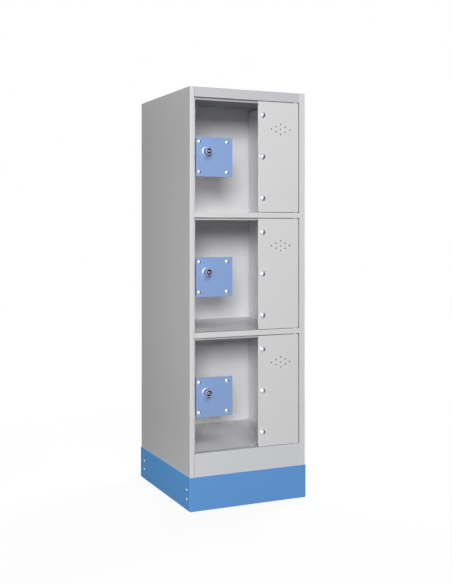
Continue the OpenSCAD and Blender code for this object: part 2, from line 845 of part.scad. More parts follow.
module pane_nuts() {
    nut_y = [back(door_d + strip_t), back(door_d + strip_t + pane_bolt_d * nut_h_share)];
    color("silver") for (z = pane_bolt_zs) difference() {
        hex_y(leaf_x0 + pane_bolt_inset, z, nut_y, pane_bolt_d * nut_af_share);
        bar_y(leaf_x0 + pane_bolt_inset, z, [nut_y[0] - over, nut_y[1] + over],
            pane_bolt_d + 2 * run_clear);
    }
}

module lock_plate() {
    color("steelblue") difference() {
        along_y([back(plate_front_d), back(fold_d)])
            round_rect([plate_x0, plate_z - plate_h / 2],
                [plate_x0 + plate_w, plate_z + plate_h / 2], plate_corner_r);
        plate_screw_holes([plate_front_d - over, fold_d + over]);
        bar_y(lock_x, lock_z, [back(plate_front_d - over), back(fold_d + over)],
            barrel_d + 2 * hole_clear);
    }
}

module plate_screws() {
    end_d = plate_nut_d + plate_screw_d * nut_h_share + thread_end;
    color("silver") for (x = screw_xs) for (z = screw_zs) {
        translate([x, back(plate_front_d), z]) rotate([90, 0, 0])
            dome(plate_screw_head_d, plate_screw_head_h);
        bar_y(x, z, [back(plate_front_d), back(end_d)], plate_screw_d);
    }
}

// Nuts of the plate screws and the nut of the barrel
module lock_nuts() {
    screw_y = [back(plate_nut_d), back(plate_nut_d + plate_screw_d * nut_h_share)];
    barrel_y = [back(door_d), back(door_d + barrel_nut_t)];
    color("silver") {
        for (x = screw_xs) for (z = screw_zs) difference() {
            hex_y(x, z, screw_y, plate_screw_d * nut_af_share);
            bar_y(x, z, [screw_y[0] - over, screw_y[1] + over], plate_screw_d + 2 * run_clear);
        }
        difference() {
            hex_y(lock_x, lock_z, barrel_y, barrel_nut_af);
            bar_y(lock_x, lock_z, [barrel_y[0] - over, barrel_y[1] + over],
                barrel_d + 2 * run_clear);
        }
    }
}

// The bolt's section with a clearance round it, between two X values
module bolt_space(x, gap) {
    block(x, [back(bolt_front_d - gap), back(bolt_back_d + gap)],
        [lock_z - bolt_below - gap, lock_z + bolt_above + gap]);
}

// Case of the lock behind the pane, open at the back, with a rib that guides the bolt
module lock_case() {
    x = [case_x0, case_x0 + case_w];
    z = [plate_z - case_h / 2, plate_z + case_h / 2];
    color("silver") difference() {
        union() {
            difference() {
                block(x, [back(door_d), back(door_d + case_d - case_t)], z);
                block([x[0] + case_t, x[1] - case_t],
                    [back(door_d + case_t), back(door_d + case_d + over)],
                    [z[0] + case_t, z[1] - case_t]);
            }
            block([rib_x, rib_x + case_t],
                [back(door_d + case_t / 2), back(door_d + case_d - case_t - cover_lip)],
                [z[0] + case_t / 2, z[1] - case_t / 2]);
        }
        bolt_space([x[0] - over, x[0] + case_t + over], seat_gap);
        bolt_space([rib_x - over, rib_x + case_t + over], seat_gap);
        bar_y(lock_x, lock_z, [back(door_d - over), back(door_d + case_t + over)], case_hole_d);
        plate_screw_holes([door_d - over, door_d + case_t + over]);
    }
}

// Cover of the case, with lips that fit inside its walls
module case_cover() {
    x = [case_x0, case_x0 + case_w];
    z = [plate_z - case_h / 2, plate_z + case_h / 2];
    y = back(door_d + case_d - case_t);
    inner = case_t + run_clear;
    lip = inner + case_t;
    color("silver") {
        block(x, [y, y + case_t], z);
        difference() {
            block([x[0] + inner, x[1] - inner], [y - cover_lip, y + case_t / 2],
                [z[0] + inner, z[1] - inner]);
            block([x[0] + lip, x[1] - lip], [y - cover_lip - over, y],
                [z[0] + lip, z[1] - lip]);
        }
    }
}

module lock_barrel() {
    color("silver") difference() {
        union() {
            bar_y(lock_x, lock_z, [back(nose_front_d), back(plate_front_d)], nose_d);
            bar_y(lock_x, lock_z, [back(plate_front_d - barrel_flange_t), back(plate_front_d)],
                barrel_flange_d);
            bar_y(lock_x, lock_z, [back(plate_front_d - over), back(barrel_end_d)], barrel_d);
        }
        bar_y(lock_x, lock_z, [back(nose_front_d - over), back(barrel_end_d + over)],
            plug_d + 2 * run_clear);
    }
}

// Plug with its key slot, cam and drive pin. The drive pin starts half a quarter turn
// right of the top and ends as far left of it.
module lock_plug() {
    drive_at = crank_r * sin(45);
    color("dimgray") difference() {
        union() {
            bar_y(lock_x, lock_z, [back(nose_front_d), back(cam_d + cam_t / 2)], plug_d);
            bar_y(lock_x, lock_z, [back(cam_d), back(cam_d + cam_t)],
                2 * crank_r + drive_pin_d + 2 * cam_rim);
            bar_y(lock_x + drive_at, lock_z + drive_at,
                [back(cam_d + cam_t / 2), back(bolt_back_d + seat_gap)], drive_pin_d);
        }
        block([lock_x - key_w / 2, lock_x + key_w / 2],
            [back(nose_front_d - over), back(nose_front_d + key_depth)],
            [lock_z - key_h / 2, lock_z + key_h / 2]);
    }
}

// Bolt with an upright slot round the drive pin
module lock_bolt() {
    drive_x = lock_x + crank_r * sin(45);
    reach = drive_pin_d / 2 + seat_gap;
    color("silver") difference() {
        bolt_space([bolt_x0, bolt_x1], 0);
        block([drive_x - slot_half_w, drive_x + slot_half_w],
            [back(bolt_front_d - over), back(bolt_back_d + over)],
            [lock_z + crank_r * sin(45) - reach, lock_z + crank_r + reach]);
    }
}

// Upper and lower hinge pin, each held in the leaf by its collar
module hinge_pins() {
    reach = door_gap + bush_len + pin_end;
    y = back(hinge_setback);
    color("silver") {
        bar_z(pin_x, y, [door_gap + sheet_t, door_gap + sheet_t + pin_collar_h], pin_collar_d);
        bar_z(pin_x, y, [door_gap - reach, door_gap + sheet_t + pin_collar_h / 2], pin_d);
        translate([0, 0, opening_h]) {
            bar_z(pin_x, y, [-door_gap - sheet_t - pin_collar_h, -door_gap - sheet_t],
                pin_collar_d);
            bar_z(pin_x, y, [-door_gap - sheet_t - pin_collar_h / 2, reach - door_gap], pin_d);
        }
    }
}

side_panel_left();
side_panel_right();
back_panel();
top_panel();
shelf_upper();
shelf_lower();
bottom_panel();
hinge_bushes();
bolt_keepers();
plinth_front();
plinth_back();
plinth_left();
plinth_right();
plinth_rivets();
foot_bolts();
foot_nuts();
for (i = [0:door_count - 1]) translate([0, 0, opening_z(i)]) {
    name = door_names[i];
    leaf();
    pane();
    backing_strip();
    pane_bolts();
    pane_nuts();
    lock_plate();
    plate_screws();
    lock_nuts();
    lock_case();
    case_cover();
    lock_barrel();
    lock_plug();
    lock_bolt();
    hinge_pins();
}
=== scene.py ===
"""Three-door locker: finishes, turned fittings, dressed sheets, stage and camera round the model.

Every length is in metres. X runs along the locker's front, Y from the front to the back and Z up
from the floor. Places come from the frame, and the fittings' own sizes are dataclass fields.
"""

import logging
from abc import ABC, abstractmethod
from collections.abc import Sequence
from dataclasses import dataclass, field
from enum import Enum
from functools import cached_property
from math import pi, radians
from typing import Any, Protocol

import bmesh
import bpy
import numpy as np
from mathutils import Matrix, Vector


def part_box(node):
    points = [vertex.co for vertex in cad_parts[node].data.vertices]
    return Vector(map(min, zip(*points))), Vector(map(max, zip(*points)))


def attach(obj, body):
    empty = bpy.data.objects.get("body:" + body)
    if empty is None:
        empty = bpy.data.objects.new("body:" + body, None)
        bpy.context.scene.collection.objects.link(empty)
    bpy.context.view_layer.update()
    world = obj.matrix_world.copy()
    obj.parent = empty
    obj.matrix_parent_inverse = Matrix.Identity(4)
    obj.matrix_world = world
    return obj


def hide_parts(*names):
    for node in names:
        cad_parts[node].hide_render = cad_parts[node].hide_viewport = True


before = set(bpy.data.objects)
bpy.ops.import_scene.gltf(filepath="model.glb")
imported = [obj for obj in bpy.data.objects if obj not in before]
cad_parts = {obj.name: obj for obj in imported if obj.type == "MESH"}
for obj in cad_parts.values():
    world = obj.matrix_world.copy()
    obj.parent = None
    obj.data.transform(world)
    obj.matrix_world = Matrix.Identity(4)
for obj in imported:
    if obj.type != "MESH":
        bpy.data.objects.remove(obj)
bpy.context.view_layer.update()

MM = 0.001
TURN = 2 * pi
DOORS = ("upper", "middle", "lower")
BLACK = (0, 0, 0, 1)
WHITE = (1, 1, 1, 1)
log = logging.getLogger("locker")

# A face looks along an axis where its normal's share of that axis is above this.
FACES_AXIS = 0.5

# Points nearer to each other than this are one point.
SEAM = 0.001 * MM

# Edges below the first angle vanish, above the second stay sharp, above the third are rounded.
FLAT_EDGE = radians(0.5)
SHARP_EDGE = radians(32)
EASED_EDGE = radians(40)

Pair = tuple[float, float]
Triple = tuple[float, float, float]
Tone = Triple
Colour = tuple[float, float, float, float]


class Slot(Enum):
    """Material slots of the record."""

    BODY = "body_paint"
    PLINTH = "plinth_paint"
    PLATE = "plate_paint"
    PANE = "clear_pane"
    ZINC = "zinc"
    CHROME = "lock_chrome"
    PLUG = "plug_metal"
    PLASTIC = "bush_plastic"


class Facing(Enum):
    """Direction in which a turned piece's heights grow."""

    FRONT = (0.0, -1.0, 0.0)
    BACK = (0.0, 1.0, 0.0)
    UP = (0.0, 0.0, 1.0)
    DOWN = (0.0, 0.0, -1.0)
    LEFT = (-1.0, 0.0, 0.0)
    RIGHT = (1.0, 0.0, 0.0)

    @property
    def way(self) -> Vector:
        """The direction as a vector."""
        return Vector(self.value)

    def rotation(self) -> np.ndarray:
        """Matrix that turns +Z to this direction."""
        return np.array(Vector((0, 0, 1)).rotation_difference(self.way).to_matrix())


def linear(tone: Tone, share: Triple = (1, 1, 1)) -> Colour:
    """Scene-linear colour of a tone, by the curve that displays use.

    Near black the curve is straight, and above it a power of 2.4.

    Args:
        tone: Red, green and blue from 0 to 255.
        share: What each linear part is multiplied by.

    Returns:
        The linear colour with an alpha of 1.
    """
    value = np.array(tone) / 255
    low, high = value / 12.92, ((value + 0.055) / 1.055) ** 2.4
    return (*(np.where(value <= 0.04045, low, high) * share).tolist(), 1.0)


class Signal:
    """A socket that takes part in Python arithmetic. Each operator adds one Math node."""

    def __init__(self, recipe: "Recipe", socket: bpy.types.NodeSocket) -> None:
        """Keep the recipe that the socket belongs to."""
        self.recipe = recipe
        self.socket = socket

    def _math(self, operation: str, first: Any, second: Any) -> "Signal":
        """Result of a Math node on two values or signals."""
        node = self.recipe.add("ShaderNodeMath", {"operation": operation}, {0: first, 1: second})
        return Signal(self.recipe, node.outputs[0])

    def __add__(self, other: Any) -> "Signal":
        """Sum."""
        return self._math("ADD", self, other)

    def __sub__(self, other: Any) -> "Signal":
        """Difference."""
        return self._math("SUBTRACT", self, other)

    def __rsub__(self, other: Any) -> "Signal":
        """Difference with a number first."""
        return self._math("SUBTRACT", other, self)

    def __mul__(self, other: Any) -> "Signal":
        """Product."""
        return self._math("MULTIPLY", self, other)

    __radd__ = __add__
    __rmul__ = __mul__

    def __abs__(self) -> "Signal":
        """Absolute value."""
        return self._math("ABSOLUTE", self, 0.0)

    def over(self, limit: float) -> "Signal":
        """1 where the signal is above a limit, and 0 elsewhere."""
        return self._math("GREATER_THAN", self, limit)

    def most(self, other: Any) -> "Signal":
        """The larger of two signals."""
        return self._math("MAXIMUM", self, other)


class Recipe:
    """A node tree while a material or the world is put together."""

    def __init__(self, tree: bpy.types.NodeTree) -> None:
        """Start from an empty tree."""
        self.tree = tree
        self.tree.nodes.clear()

    def add(
        self,
        kind: str,
        settings: dict[str, Any] | None = None,
        inputs: dict[str | int, Any] | None = None,
    ) -> bpy.types.Node:
        """Add one node.

        Args:
            kind: The node's type name.
            settings: Its properties, which are set first.
            inputs: Values or links of its sockets, by name or number.

        Returns:
            The new node.
        """
        node = self.tree.nodes.new(kind)
        for name, value in (settings or {}).items():
            setattr(node, name, value)
        for key, value in (inputs or {}).items():
            socket = node.inputs[key]
            if isinstance(value, Signal):
                self.tree.links.new(value.socket, socket)
            else:
                socket.default_value = value
        return node

    def read(self, kind: str, output: str, settings: dict[str, Any] | None = None) -> Signal:
        """Named output of a node that has no inputs to set."""
        return Signal(self, self.add(kind, settings).outputs[output])

    def place(self) -> Signal:
        """Object coordinates in metres."""
        return self.read("ShaderNodeTexCoord", "Object")

    def facing(self) -> Signal:
        """Direction that the surface faces, in Object coordinates."""
        return self.read("ShaderNodeTexCoord", "Normal")

    def axes(self, vector: Signal) -> list[Signal]:
        """X, Y and Z of a vector."""
        split = self.add("ShaderNodeSeparateXYZ", None, {"Vector": vector})
        return [Signal(self, split.outputs[axis]) for axis in "XYZ"]

    def measure(self, operation: str, inputs: dict[str | int, Any]) -> Signal:
        """Number that a Vector Math node gives."""
        node = self.add("ShaderNodeVectorMath", {"operation": operation}, inputs)
        return Signal(self, node.outputs["Value"])

    def noise(self, size: float, detail: float, stretch: Triple = (1, 1, 1)) -> Signal:
        """Noise from 0 to 1 over Object coordinates.

        Args:
            size: Size of a spot, in metres.
            detail: Octaves of the noise.
            stretch: How much finer the spots are along each axis.

        Returns:
            The noise value.
        """
        mapped = self.add("ShaderNodeMapping", None, {"Vector": self.place(), "Scale": stretch})
        node = self.add("ShaderNodeTexNoise", None, {
            "Vector": Signal(self, mapped.outputs[0]), "Scale": 1 / size, "Detail": detail,
        })
        return Signal(self, node.outputs["Fac"])

    def blend(self, factor: Any, first: Any, second: Any) -> Signal:
        """Colour between two colours, which are a Mix node's sockets 6 and 7 and its output 2.

        Args:
            factor: 0 for the first colour and 1 for the second.
            first: A linear colour or a signal.
            second: A linear colour or a signal.

        Returns:
            The blended colour.
        """
        node = self.add("ShaderNodeMix", {"data_type": "RGBA"}, {0: factor, 6: first, 7: second})
        return Signal(self, node.outputs[2])

    def ramp(self, value: Signal, across: Pair, ends: Pair) -> Signal:
        """Smooth step between two ends.

        Args:
            value: The signal that steps.
            across: The signal's range.
            ends: The step's values at the two ends of that range.

        Returns:
            The stepped value.
        """
        node = self.add("ShaderNodeMapRange", {"interpolation_type": "SMOOTHSTEP"}, {
            "Value": value, "From Min": across[0], "From Max": across[1],
            "To Min": ends[0], "To Max": ends[1],
        })
        return Signal(self, node.outputs[0])

    def bump(self, height: Signal, depth: float, strength: float) -> Signal:
        """Normal of a surface with a relief.

        Args:
            height: The relief from 0 to 1.
            depth: Its depth in metres.
            strength: Share of the relief that shows.

        Returns:
            The normal.
        """
        node = self.add("ShaderNodeBump", None, {
            "Height": height, "Distance": depth, "Strength": strength,
        })
        return Signal(self, node.outputs[0])

    def principled(self, inputs: dict[str | int, Any]) -> None:
        """End a material with its shader and output."""
        shader = self.add("ShaderNodeBsdfPrincipled", None, inputs)
        self.add("ShaderNodeOutputMaterial", None, {"Surface": Signal(self, shader.outputs[0])})


class Finish(Protocol):
    """Anything that can be put on a piece."""

    name: str
    slot: Slot

    @property
    def material(self) -> bpy.types.Material:
        """The finish as a material."""


def start(name: str) -> tuple[bpy.types.Material, Recipe]:
    """Begin a material.

    Args:
        name: The material's name.

    Returns:
        The new material and its empty recipe.
    """
    material = bpy.data.materials.new(name)
    material.use_nodes = True
    return material, Recipe(material.node_tree)


@dataclass(frozen=True)
class Inside:
    """Space inside the body: within a half width, behind a depth and below a height."""

    half_width: float = 199.5 * MM
    front: float = -185 * MM
    roof: float = 1299.4 * MM

    def share(self, recipe: Recipe) -> Signal:
        """Tell the inside of the body from the outside, where painted light and painted shade go.

        Args:
            recipe: The material's recipe.

        Returns:
            1 inside the body and 0 outside it.
        """
        across, deep, up = recipe.axes(recipe.place())
        outside = abs(across).over(self.half_width).most(up.over(self.roof))
        return deep.over(self.front) * (1 - outside)


@dataclass(frozen=True)
class PowderCoat:
    """Baked powder paint: a satin skin with orange peel and faint clouds in its tone.

    Inside the body it takes its inside shading tone, which is painted light where it is paler than
    the tone and painted shade where it is darker, and where a face looks down there its underside
    shade tone, which is painted shade.
    """

    name: str
    slot: Slot
    tone: Tone
    # Tone inside the body: painted light where paler than the tone, painted shade where darker.
    inside_shading_tone: Tone | None = None
    # Painted shade on faces inside the body that look down.
    underside_shade_tone: Tone | None = None
    inside: Inside = Inside()
    roughness: float = 0.42
    uneven: float = 0.1
    gloss: float = 0.25
    cloud: float = 0.018
    cloud_size: float = 160 * MM
    peel_size: float = 1.7 * MM
    peel_depth: float = 0.05 * MM
    peel_strength: float = 0.25

    def clouded(self, recipe: Recipe, clouds: Signal, tone: Tone) -> Signal:
        """A tone that the clouds darken and lighten by their share."""
        dark, pale = (linear(tone, (share,) * 3) for share in (1 - self.cloud, 1 + self.cloud))
        return recipe.blend(clouds, dark, pale)

    @cached_property
    def material(self) -> bpy.types.Material:
        """The paint as a material."""
        material, recipe = start(self.name)
        clouds = recipe.noise(self.cloud_size, detail=3)
        peel = recipe.noise(self.peel_size, detail=1)
        colour = self.clouded(recipe, clouds, self.tone)
        # Painted light and shade: inside the body the colour turns to the inside shading tone.
        if self.inside_shading_tone:
            inner = self.clouded(recipe, clouds, self.inside_shading_tone)
            # Painted shade: faces inside the body that look down take the darker underside tone.
            if self.underside_shade_tone:
                up = recipe.axes(recipe.facing())[2]
                under = self.clouded(recipe, clouds, self.underside_shade_tone)
                inner = recipe.blend((up * -1).over(FACES_AXIS), inner, under)
            colour = recipe.blend(self.inside.share(recipe), colour, inner)
        recipe.principled({
            "Base Color": colour,
            "Roughness": clouds * self.uneven + (self.roughness - self.uneven / 2),
            "Specular IOR Level": self.gloss,
            "Normal": recipe.bump(peel, self.peel_depth, self.peel_strength),
        })
        return material


@dataclass(frozen=True)
class PlatedMetal:
    """Bright plated metal with fine drawing marks, which are darker, and uneven gloss."""

    name: str
    slot: Slot
    tone: Tone
    roughness: float
    uneven: float = 0.1
    mark_shares: Triple = (0.86, 0.86, 0.88)
    mark_size: float = 2.2 * MM
    mark_stretch: Triple = (1, 1, 0.25)
    mark_depth: float = 0.01 * MM
    mark_strength: float = 0.3

    @cached_property
    def material(self) -> bpy.types.Material:
        """The plating as a material."""
        material, recipe = start(self.name)
        marks = recipe.noise(self.mark_size, 3, self.mark_stretch)
        recipe.principled({
            "Base Color": recipe.blend(
                marks, linear(self.tone, self.mark_shares), linear(self.tone)),
            "Metallic": 1.0,
            "Roughness": marks * self.uneven + (self.roughness - self.uneven / 2),
            "Normal": recipe.bump(marks, self.mark_depth, self.mark_strength),
        })
        return material


@dataclass(frozen=True)
class PlugFace:
    """Dark plug with a bright core. Each pair is a value on the plug and one on its core.

    The mesh's core attribute is 1 on the core.
    """

    name: str
    slot: Slot
    tones: tuple[Tone, Tone]
    metallic: Pair = (0.4, 1.0)
    roughness: Pair = (0.45, 0.2)
    uneven: float = 0.08
    mark_size: float = 0.8 * MM
    gloss: float = 0.15
    attribute: str = "core"

    @cached_property
    def material(self) -> bpy.types.Material:
        """The plug's finish as a material."""
        material, recipe = start(self.name)
        core = recipe.read("ShaderNodeAttribute", "Fac", {"attribute_name": self.attribute})
        marks = recipe.noise(self.mark_size, detail=2)
        metal, rough = (
            core * (on_core - on_plug) + on_plug
            for on_plug, on_core in (self.metallic, self.roughness)
        )
        recipe.principled({
            "Base Color": recipe.blend(core, linear(self.tones[0]), linear(self.tones[1])),
            "Metallic": metal,
            "Roughness": marks * self.uneven + rough,
            "Specular IOR Level": self.gloss,
        })
        return material


@dataclass(frozen=True)
class ClearSheet:
    """Clear cast sheet: nearly invisible face on, paler at a slant and at its cut edges."""

    name: str
    slot: Slot
    tone: Tone
    rim_tone: Tone
    ior: float = 1.49
    veil: float = 0.003
    rim_veil: float = 0.5
    slant_veil: float = 0.2
    haze_veil: float = 0.005
    haze_size: float = 60 * MM
    roughness: float = 0.06
    uneven: float = 0.03

    @cached_property
    def material(self) -> bpy.types.Material:
        """The sheet as a material."""
        material, recipe = start(self.name)
        rim = 1 - abs(recipe.axes(recipe.facing())[1]).over(FACES_AXIS)
        slant = recipe.add("ShaderNodeFresnel", None, {"IOR": self.ior})
        haze = recipe.noise(self.haze_size, detail=2)
        veil = Signal(recipe, slant.outputs[0]) * self.slant_veil + haze * self.haze_veil
        recipe.principled({
            "Base Color": recipe.blend(rim, linear(self.tone), linear(self.rim_tone)),
            "Roughness": haze * self.uneven + self.roughness,
            "Alpha": (rim * self.rim_veil).most(veil + self.veil),
            "IOR": self.ior,
        })
        return material


@dataclass(frozen=True)
class MouldedPlastic:
    """Moulded plastic with a fine eroded grain, which is darker."""

    name: str
    slot: Slot
    tone: Tone
    roughness: float = 0.5
    uneven: float = 0.1
    grain_shares: Triple = (0.94, 0.94, 0.93)
    grain_size: float = 0.5 * MM
    grain_depth: float = 0.02 * MM
    grain_strength: float = 0.3

    @cached_property
    def material(self) -> bpy.types.Material:
        """The plastic as a material."""
        material, recipe = start(self.name)
        grain = recipe.noise(self.grain_size, detail=2)
        recipe.principled({
            "Base Color": recipe.blend(
                grain, linear(self.tone, self.grain_shares), linear(self.tone)),
            "Roughness": grain * self.uneven + self.roughness,
            "Normal": recipe.bump(grain, self.grain_depth, self.grain_strength),
        })
        return material


OUTER_TONE = (216, 216, 217)
# Painted light: the body's inside takes a paler tone than its outside, to brighten the
# compartments.
INSIDE_PAINTED_LIGHT_TONE = (241, 241, 243)
# Painted shade: the undersides of the shelves and the ceiling inside the body take this dark tone.
PAINTED_SHADE_TONE = (150, 150, 154)
BODY_PAINT = PowderCoat("body_paint", Slot.BODY, OUTER_TONE, INSIDE_PAINTED_LIGHT_TONE)
SHELF_PAINT = PowderCoat("shelf_paint", Slot.BODY, OUTER_TONE, INSIDE_PAINTED_LIGHT_TONE, PAINTED_SHADE_TONE)
# Painted shade: the top panel takes a darker copy of the body paint outside and the painted shade
# tone inside.
SHADED_TOP_PAINT = PowderCoat(
    "shaded_top_paint", Slot.BODY, (199, 199, 203), PAINTED_SHADE_TONE, roughness=0.6, gloss=0.05)
# Painted shade: the bottom panel takes a slightly darker, bluer copy of the body paint outside and
# the paler inside tone within.
SHADED_BOTTOM_PAINT = PowderCoat("shaded_bottom_paint", Slot.BODY, (211, 212, 216), INSIDE_PAINTED_LIGHT_TONE)
PLINTH_PAINT = PowderCoat("plinth_paint", Slot.PLINTH, (101, 156, 219), roughness=0.5, gloss=0.1)
# Painted light: the plinth's left and right skirts take a paler, bluer copy of the plinth paint,
# standing for light on its sides.
LIT_SKIRT_PAINT = PowderCoat("lit_skirt_paint", Slot.PLINTH, (108, 183, 252), roughness=0.6, gloss=0.07)
PLATE_PAINT = PowderCoat("plate_paint", Slot.PLATE, (137, 165, 212), roughness=0.36)
CLEAR_SHEET = ClearSheet("clear_sheet", Slot.PANE, (238, 243, 244), (176, 198, 202))
ZINC = PlatedMetal("zinc_plate", Slot.ZINC, (206, 208, 212), 0.3)
RIVET_ALLOY = PlatedMetal("rivet_alloy", Slot.ZINC, (240, 243, 248), 0.55)
# Painted reflection: the chrome is tinted blue and darkened, standing for the blue plate mirrored
# in it.
CHROME = PlatedMetal("lock_chrome", Slot.CHROME, (168, 180, 206), 0.54, 0.06)
PLUG_FACE = PlugFace("plug_metal", Slot.PLUG, ((14, 18, 27), (196, 202, 212)))
PLASTIC = MouldedPlastic("bush_plastic", Slot.PLASTIC, (228, 228, 222))


@dataclass(frozen=True)
class Shell:
    """Closed surface as a grid of points, with four-cornered faces and a mark on each point."""

    points: np.ndarray
    faces: np.ndarray
    marks: np.ndarray

    @classmethod
    def lofted(
        cls, outlines: np.ndarray, heights: np.ndarray, marked_above: float = np.inf,
    ) -> "Shell":
        """Surface through a stack of rings: ring i, angle j is outline (x, y) at its height.

        Args:
            outlines: Points of the rings, as rings by angles by 2.
            heights: Height of each point, as rings by angles.
            marked_above: Height above which points are marked.

        Returns:
            The shell. Its first and last rings are points, or lie on each other.
        """
        rings, count = heights.shape
        points = np.dstack([outlines, heights]).reshape(-1, 3)
        ring, angle = np.meshgrid(np.arange(rings - 1), np.arange(count), indexing="ij")
        beside = (angle + 1) % count
        corners = [ring * count + angle, ring * count + beside,
                   (ring + 1) * count + beside, (ring + 1) * count + angle]
        faces = np.stack(corners, axis=-1).reshape(-1, 4)
        marks = (points[:, 2] > marked_above).astype(np.float32)
        return cls(points, faces, marks)

    @classmethod
    def joined(cls, shells: Sequence["Shell"]) -> "Shell":
        """Put several shells into one list of points and faces.

        Args:
            shells: The shells, whose faces count from their own first point.

        Returns:
            One shell, whose faces count on from shell to shell.
        """
        starts = np.cumsum([0] + [len(s.points) for s in shells[:-1]])
        return cls(
            np.concatenate([s.points for s in shells]),
            np.concatenate([s.faces + k for s, k in zip(shells, starts)]),
            np.concatenate([s.marks for s in shells]),
        )

    def placed(self, origin: Sequence[float], facing: Facing) -> "Shell":
        """The shell with its axis along a direction and its zero at a point."""
        points = self.points @ facing.rotation().T + np.array(origin)
        return Shell(points, self.faces, self.marks)


@dataclass(frozen=True)
class Span:
    """Box between two corners."""

    low: Vector
    high: Vector

    @classmethod
    def of(cls, node: str) -> "Span":
        """Box of a node of the frame."""
        return cls(*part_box(node))

    @property
    def centre(self) -> Vector:
        """Centre of the box."""
        return (self.low + self.high) / 2

    def along(self, facing: Facing) -> float:
        """Length of the box along a direction."""
        return abs((self.high - self.low).dot(facing.way))

    def flats(self, facing: Facing) -> float:
        """Narrower width of the box across a direction."""
        return min(w for w, part in zip(self.high - self.low, facing.value) if not part)

    def seat(self, facing: Facing, head: float) -> Vector:
        """Point on the box's axis that lies a head's height before its end."""
        return self.centre + facing.way * (self.along(facing) / 2 - head)

    def start(self, facing: Facing) -> Vector:
        """Point on the box's axis where a piece that faces a way begins."""
        return self.seat(facing, self.along(facing))


def solids(node: str, decimals: int = 6) -> list[Span]:
    """Boxes of a node's separate solids.

    Points at one place are one point. Each point's label sinks to the lowest label that an
    edge joins it to, until nothing changes.

    Args:
        node: The node.
        decimals: Decimals of a metre to which points at one place agree.

    Returns:
        The box of each solid.
    """
    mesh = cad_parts[node].data
    points = np.empty(len(mesh.vertices) * 3, np.float32)
    ends = np.empty(len(mesh.edges) * 2, np.int32)
    mesh.vertices.foreach_get("co", points)
    mesh.edges.foreach_get("vertices", ends)
    places, same = np.unique(points.reshape(-1, 3).round(decimals), axis=0, return_inverse=True)
    pairs = same.reshape(-1)[ends].reshape(-1, 2)
    label, before = np.arange(len(places)), None
    while before is None or (label != before).any():
        before = label.copy()
        lowest = label[pairs].min(axis=1)
        np.minimum.at(label, pairs[:, 0], lowest)
        np.minimum.at(label, pairs[:, 1], lowest)
    groups = [places[label == k] for k in np.unique(label)]
    return [Span(Vector(g.min(axis=0)), Vector(g.max(axis=0))) for g in groups]


def angles(count: int) -> np.ndarray:
    """Evenly spaced angles round a full turn."""
    return np.arange(count) * TURN / count


def directions(count: int) -> np.ndarray:
    """Unit vectors (cos a, sin a) at evenly spaced angles."""
    return np.stack([np.cos(angles(count)), np.sin(angles(count))], axis=-1)


def spun(profile: Sequence[Pair] | np.ndarray, count: int) -> tuple[np.ndarray, np.ndarray]:
    """Rings (r cos a, r sin a) at height h, for a profile of radius r and height h.

    Args:
        profile: Points as radius and height.
        count: Angles in a ring.

    Returns:
        Outlines and heights of the rings.
    """
    rings = np.asarray(profile, float)
    return rings[:, :1, None] * directions(count), np.repeat(rings[:, 1:], count, axis=1)


def turned(profile: Sequence[Pair] | np.ndarray, count: int = 48) -> Shell:
    """Profile of radius and height turned round the axis."""
    return Shell.lofted(*spun(profile, count))


def slot_outline(width: float, height: float, count: int, power: float = 8) -> np.ndarray:
    """Outline of a key slot, as an ellipse whose squares are a higher power.

    Each half size is multiplied by the cosine or sine to the power 2 / power, with its sign.

    Args:
        width: Whole width.
        height: Whole height.
        count: Points in the outline.
        power: 2 for an ellipse, and more for squarer corners.

    Returns:
        The outline's points.
    """
    way = directions(count)
    return np.sign(way) * np.abs(way) ** (2 / power) * (width / 2, height / 2)


def rounded(
    profile: Sequence[Pair], radius: float, steps: int = 4, share: float = 0.49,
) -> np.ndarray:
    """Profile whose corners are curves. Each corner's curve is (1-t)^2 a + 2t(1-t) p + t^2 b.

    Args:
        profile: Points as radius and height.
        radius: How far from its corner p each curve's ends a and b lie, at most.
        steps: Points on each curve, less one.
        share: Largest share of a side that a curve takes.

    Returns:
        The profile's points as rows of radius and height.
    """
    path = np.array(profile, float)
    corner = path[1:-1]
    a, b = (
        corner + side * np.minimum(radius / np.linalg.norm(side, axis=1), share)[:, None]
        for side in (path[:-2] - corner, path[2:] - corner)
    )
    t = np.linspace(0, 1, steps + 1)[None, :, None]
    curve = (1 - t) ** 2 * a[:, None] + 2 * t * (1 - t) * corner[:, None] + t ** 2 * b[:, None]
    return np.concatenate([path[:1], curve.reshape(-1, 2), path[-1:]])


def cap_profile(diameter: float, height: float, steps: int = 12) -> np.ndarray:
    """Profile of a domed head from its rim to its crown: an arc of radius (d^2/4 + h^2) / 2h.

    Args:
        diameter: Diameter d of the rim.
        height: Height h of the crown over the rim.
        steps: Points on the arc, less one.

    Returns:
        The profile's points as rows of radius and height.
    """
    radius = (diameter ** 2 / 4 + height ** 2) / (2 * height)
    rim = np.arcsin(diameter / 2 / radius)
    a = rim * (1 - np.linspace(0, 1, steps + 1))
    return np.stack([radius * np.sin(a), radius * np.cos(a) - radius + height], axis=-1)


@dataclass(frozen=True)
class Hexagon:
    """Nut or, with no bore, bolt head, with its corners chamfered on both faces."""

    across: float
    height: float
    bore: float = 0.0
    face_share: float = 0.475
    chamfer: float = radians(30)

    def shell(self, count: int = 48) -> Shell:
        """The hexagon from height zero up.

        Its side lies at half the width over the cosine of the angle to the flat. Both ends of
        the side drop by the chamfer's slope times how far it lies outside the face's circle.

        Args:
            count: Angles round the piece.

        Returns:
            The hexagon's shell.
        """
        off_flat = angles(count) % (pi / 3) - pi / 6
        radius = self.across / 2 / np.cos(off_flat)
        face = self.face_share * self.across
        drop = (radius - face) * np.tan(self.chamfer)
        way = directions(count)
        hole, rim, side = self.bore / 2 * way, face * way, radius[:, None] * way
        flat, full = np.zeros(count), np.full(count, self.height)
        outlines = [hole, rim, side, side, rim, hole]
        heights = [flat, flat, drop, full - drop, full, full]
        if self.bore > 0:
            outlines.append(hole)
            heights.append(flat)
        return Shell.lofted(np.stack(outlines), np.stack(heights))


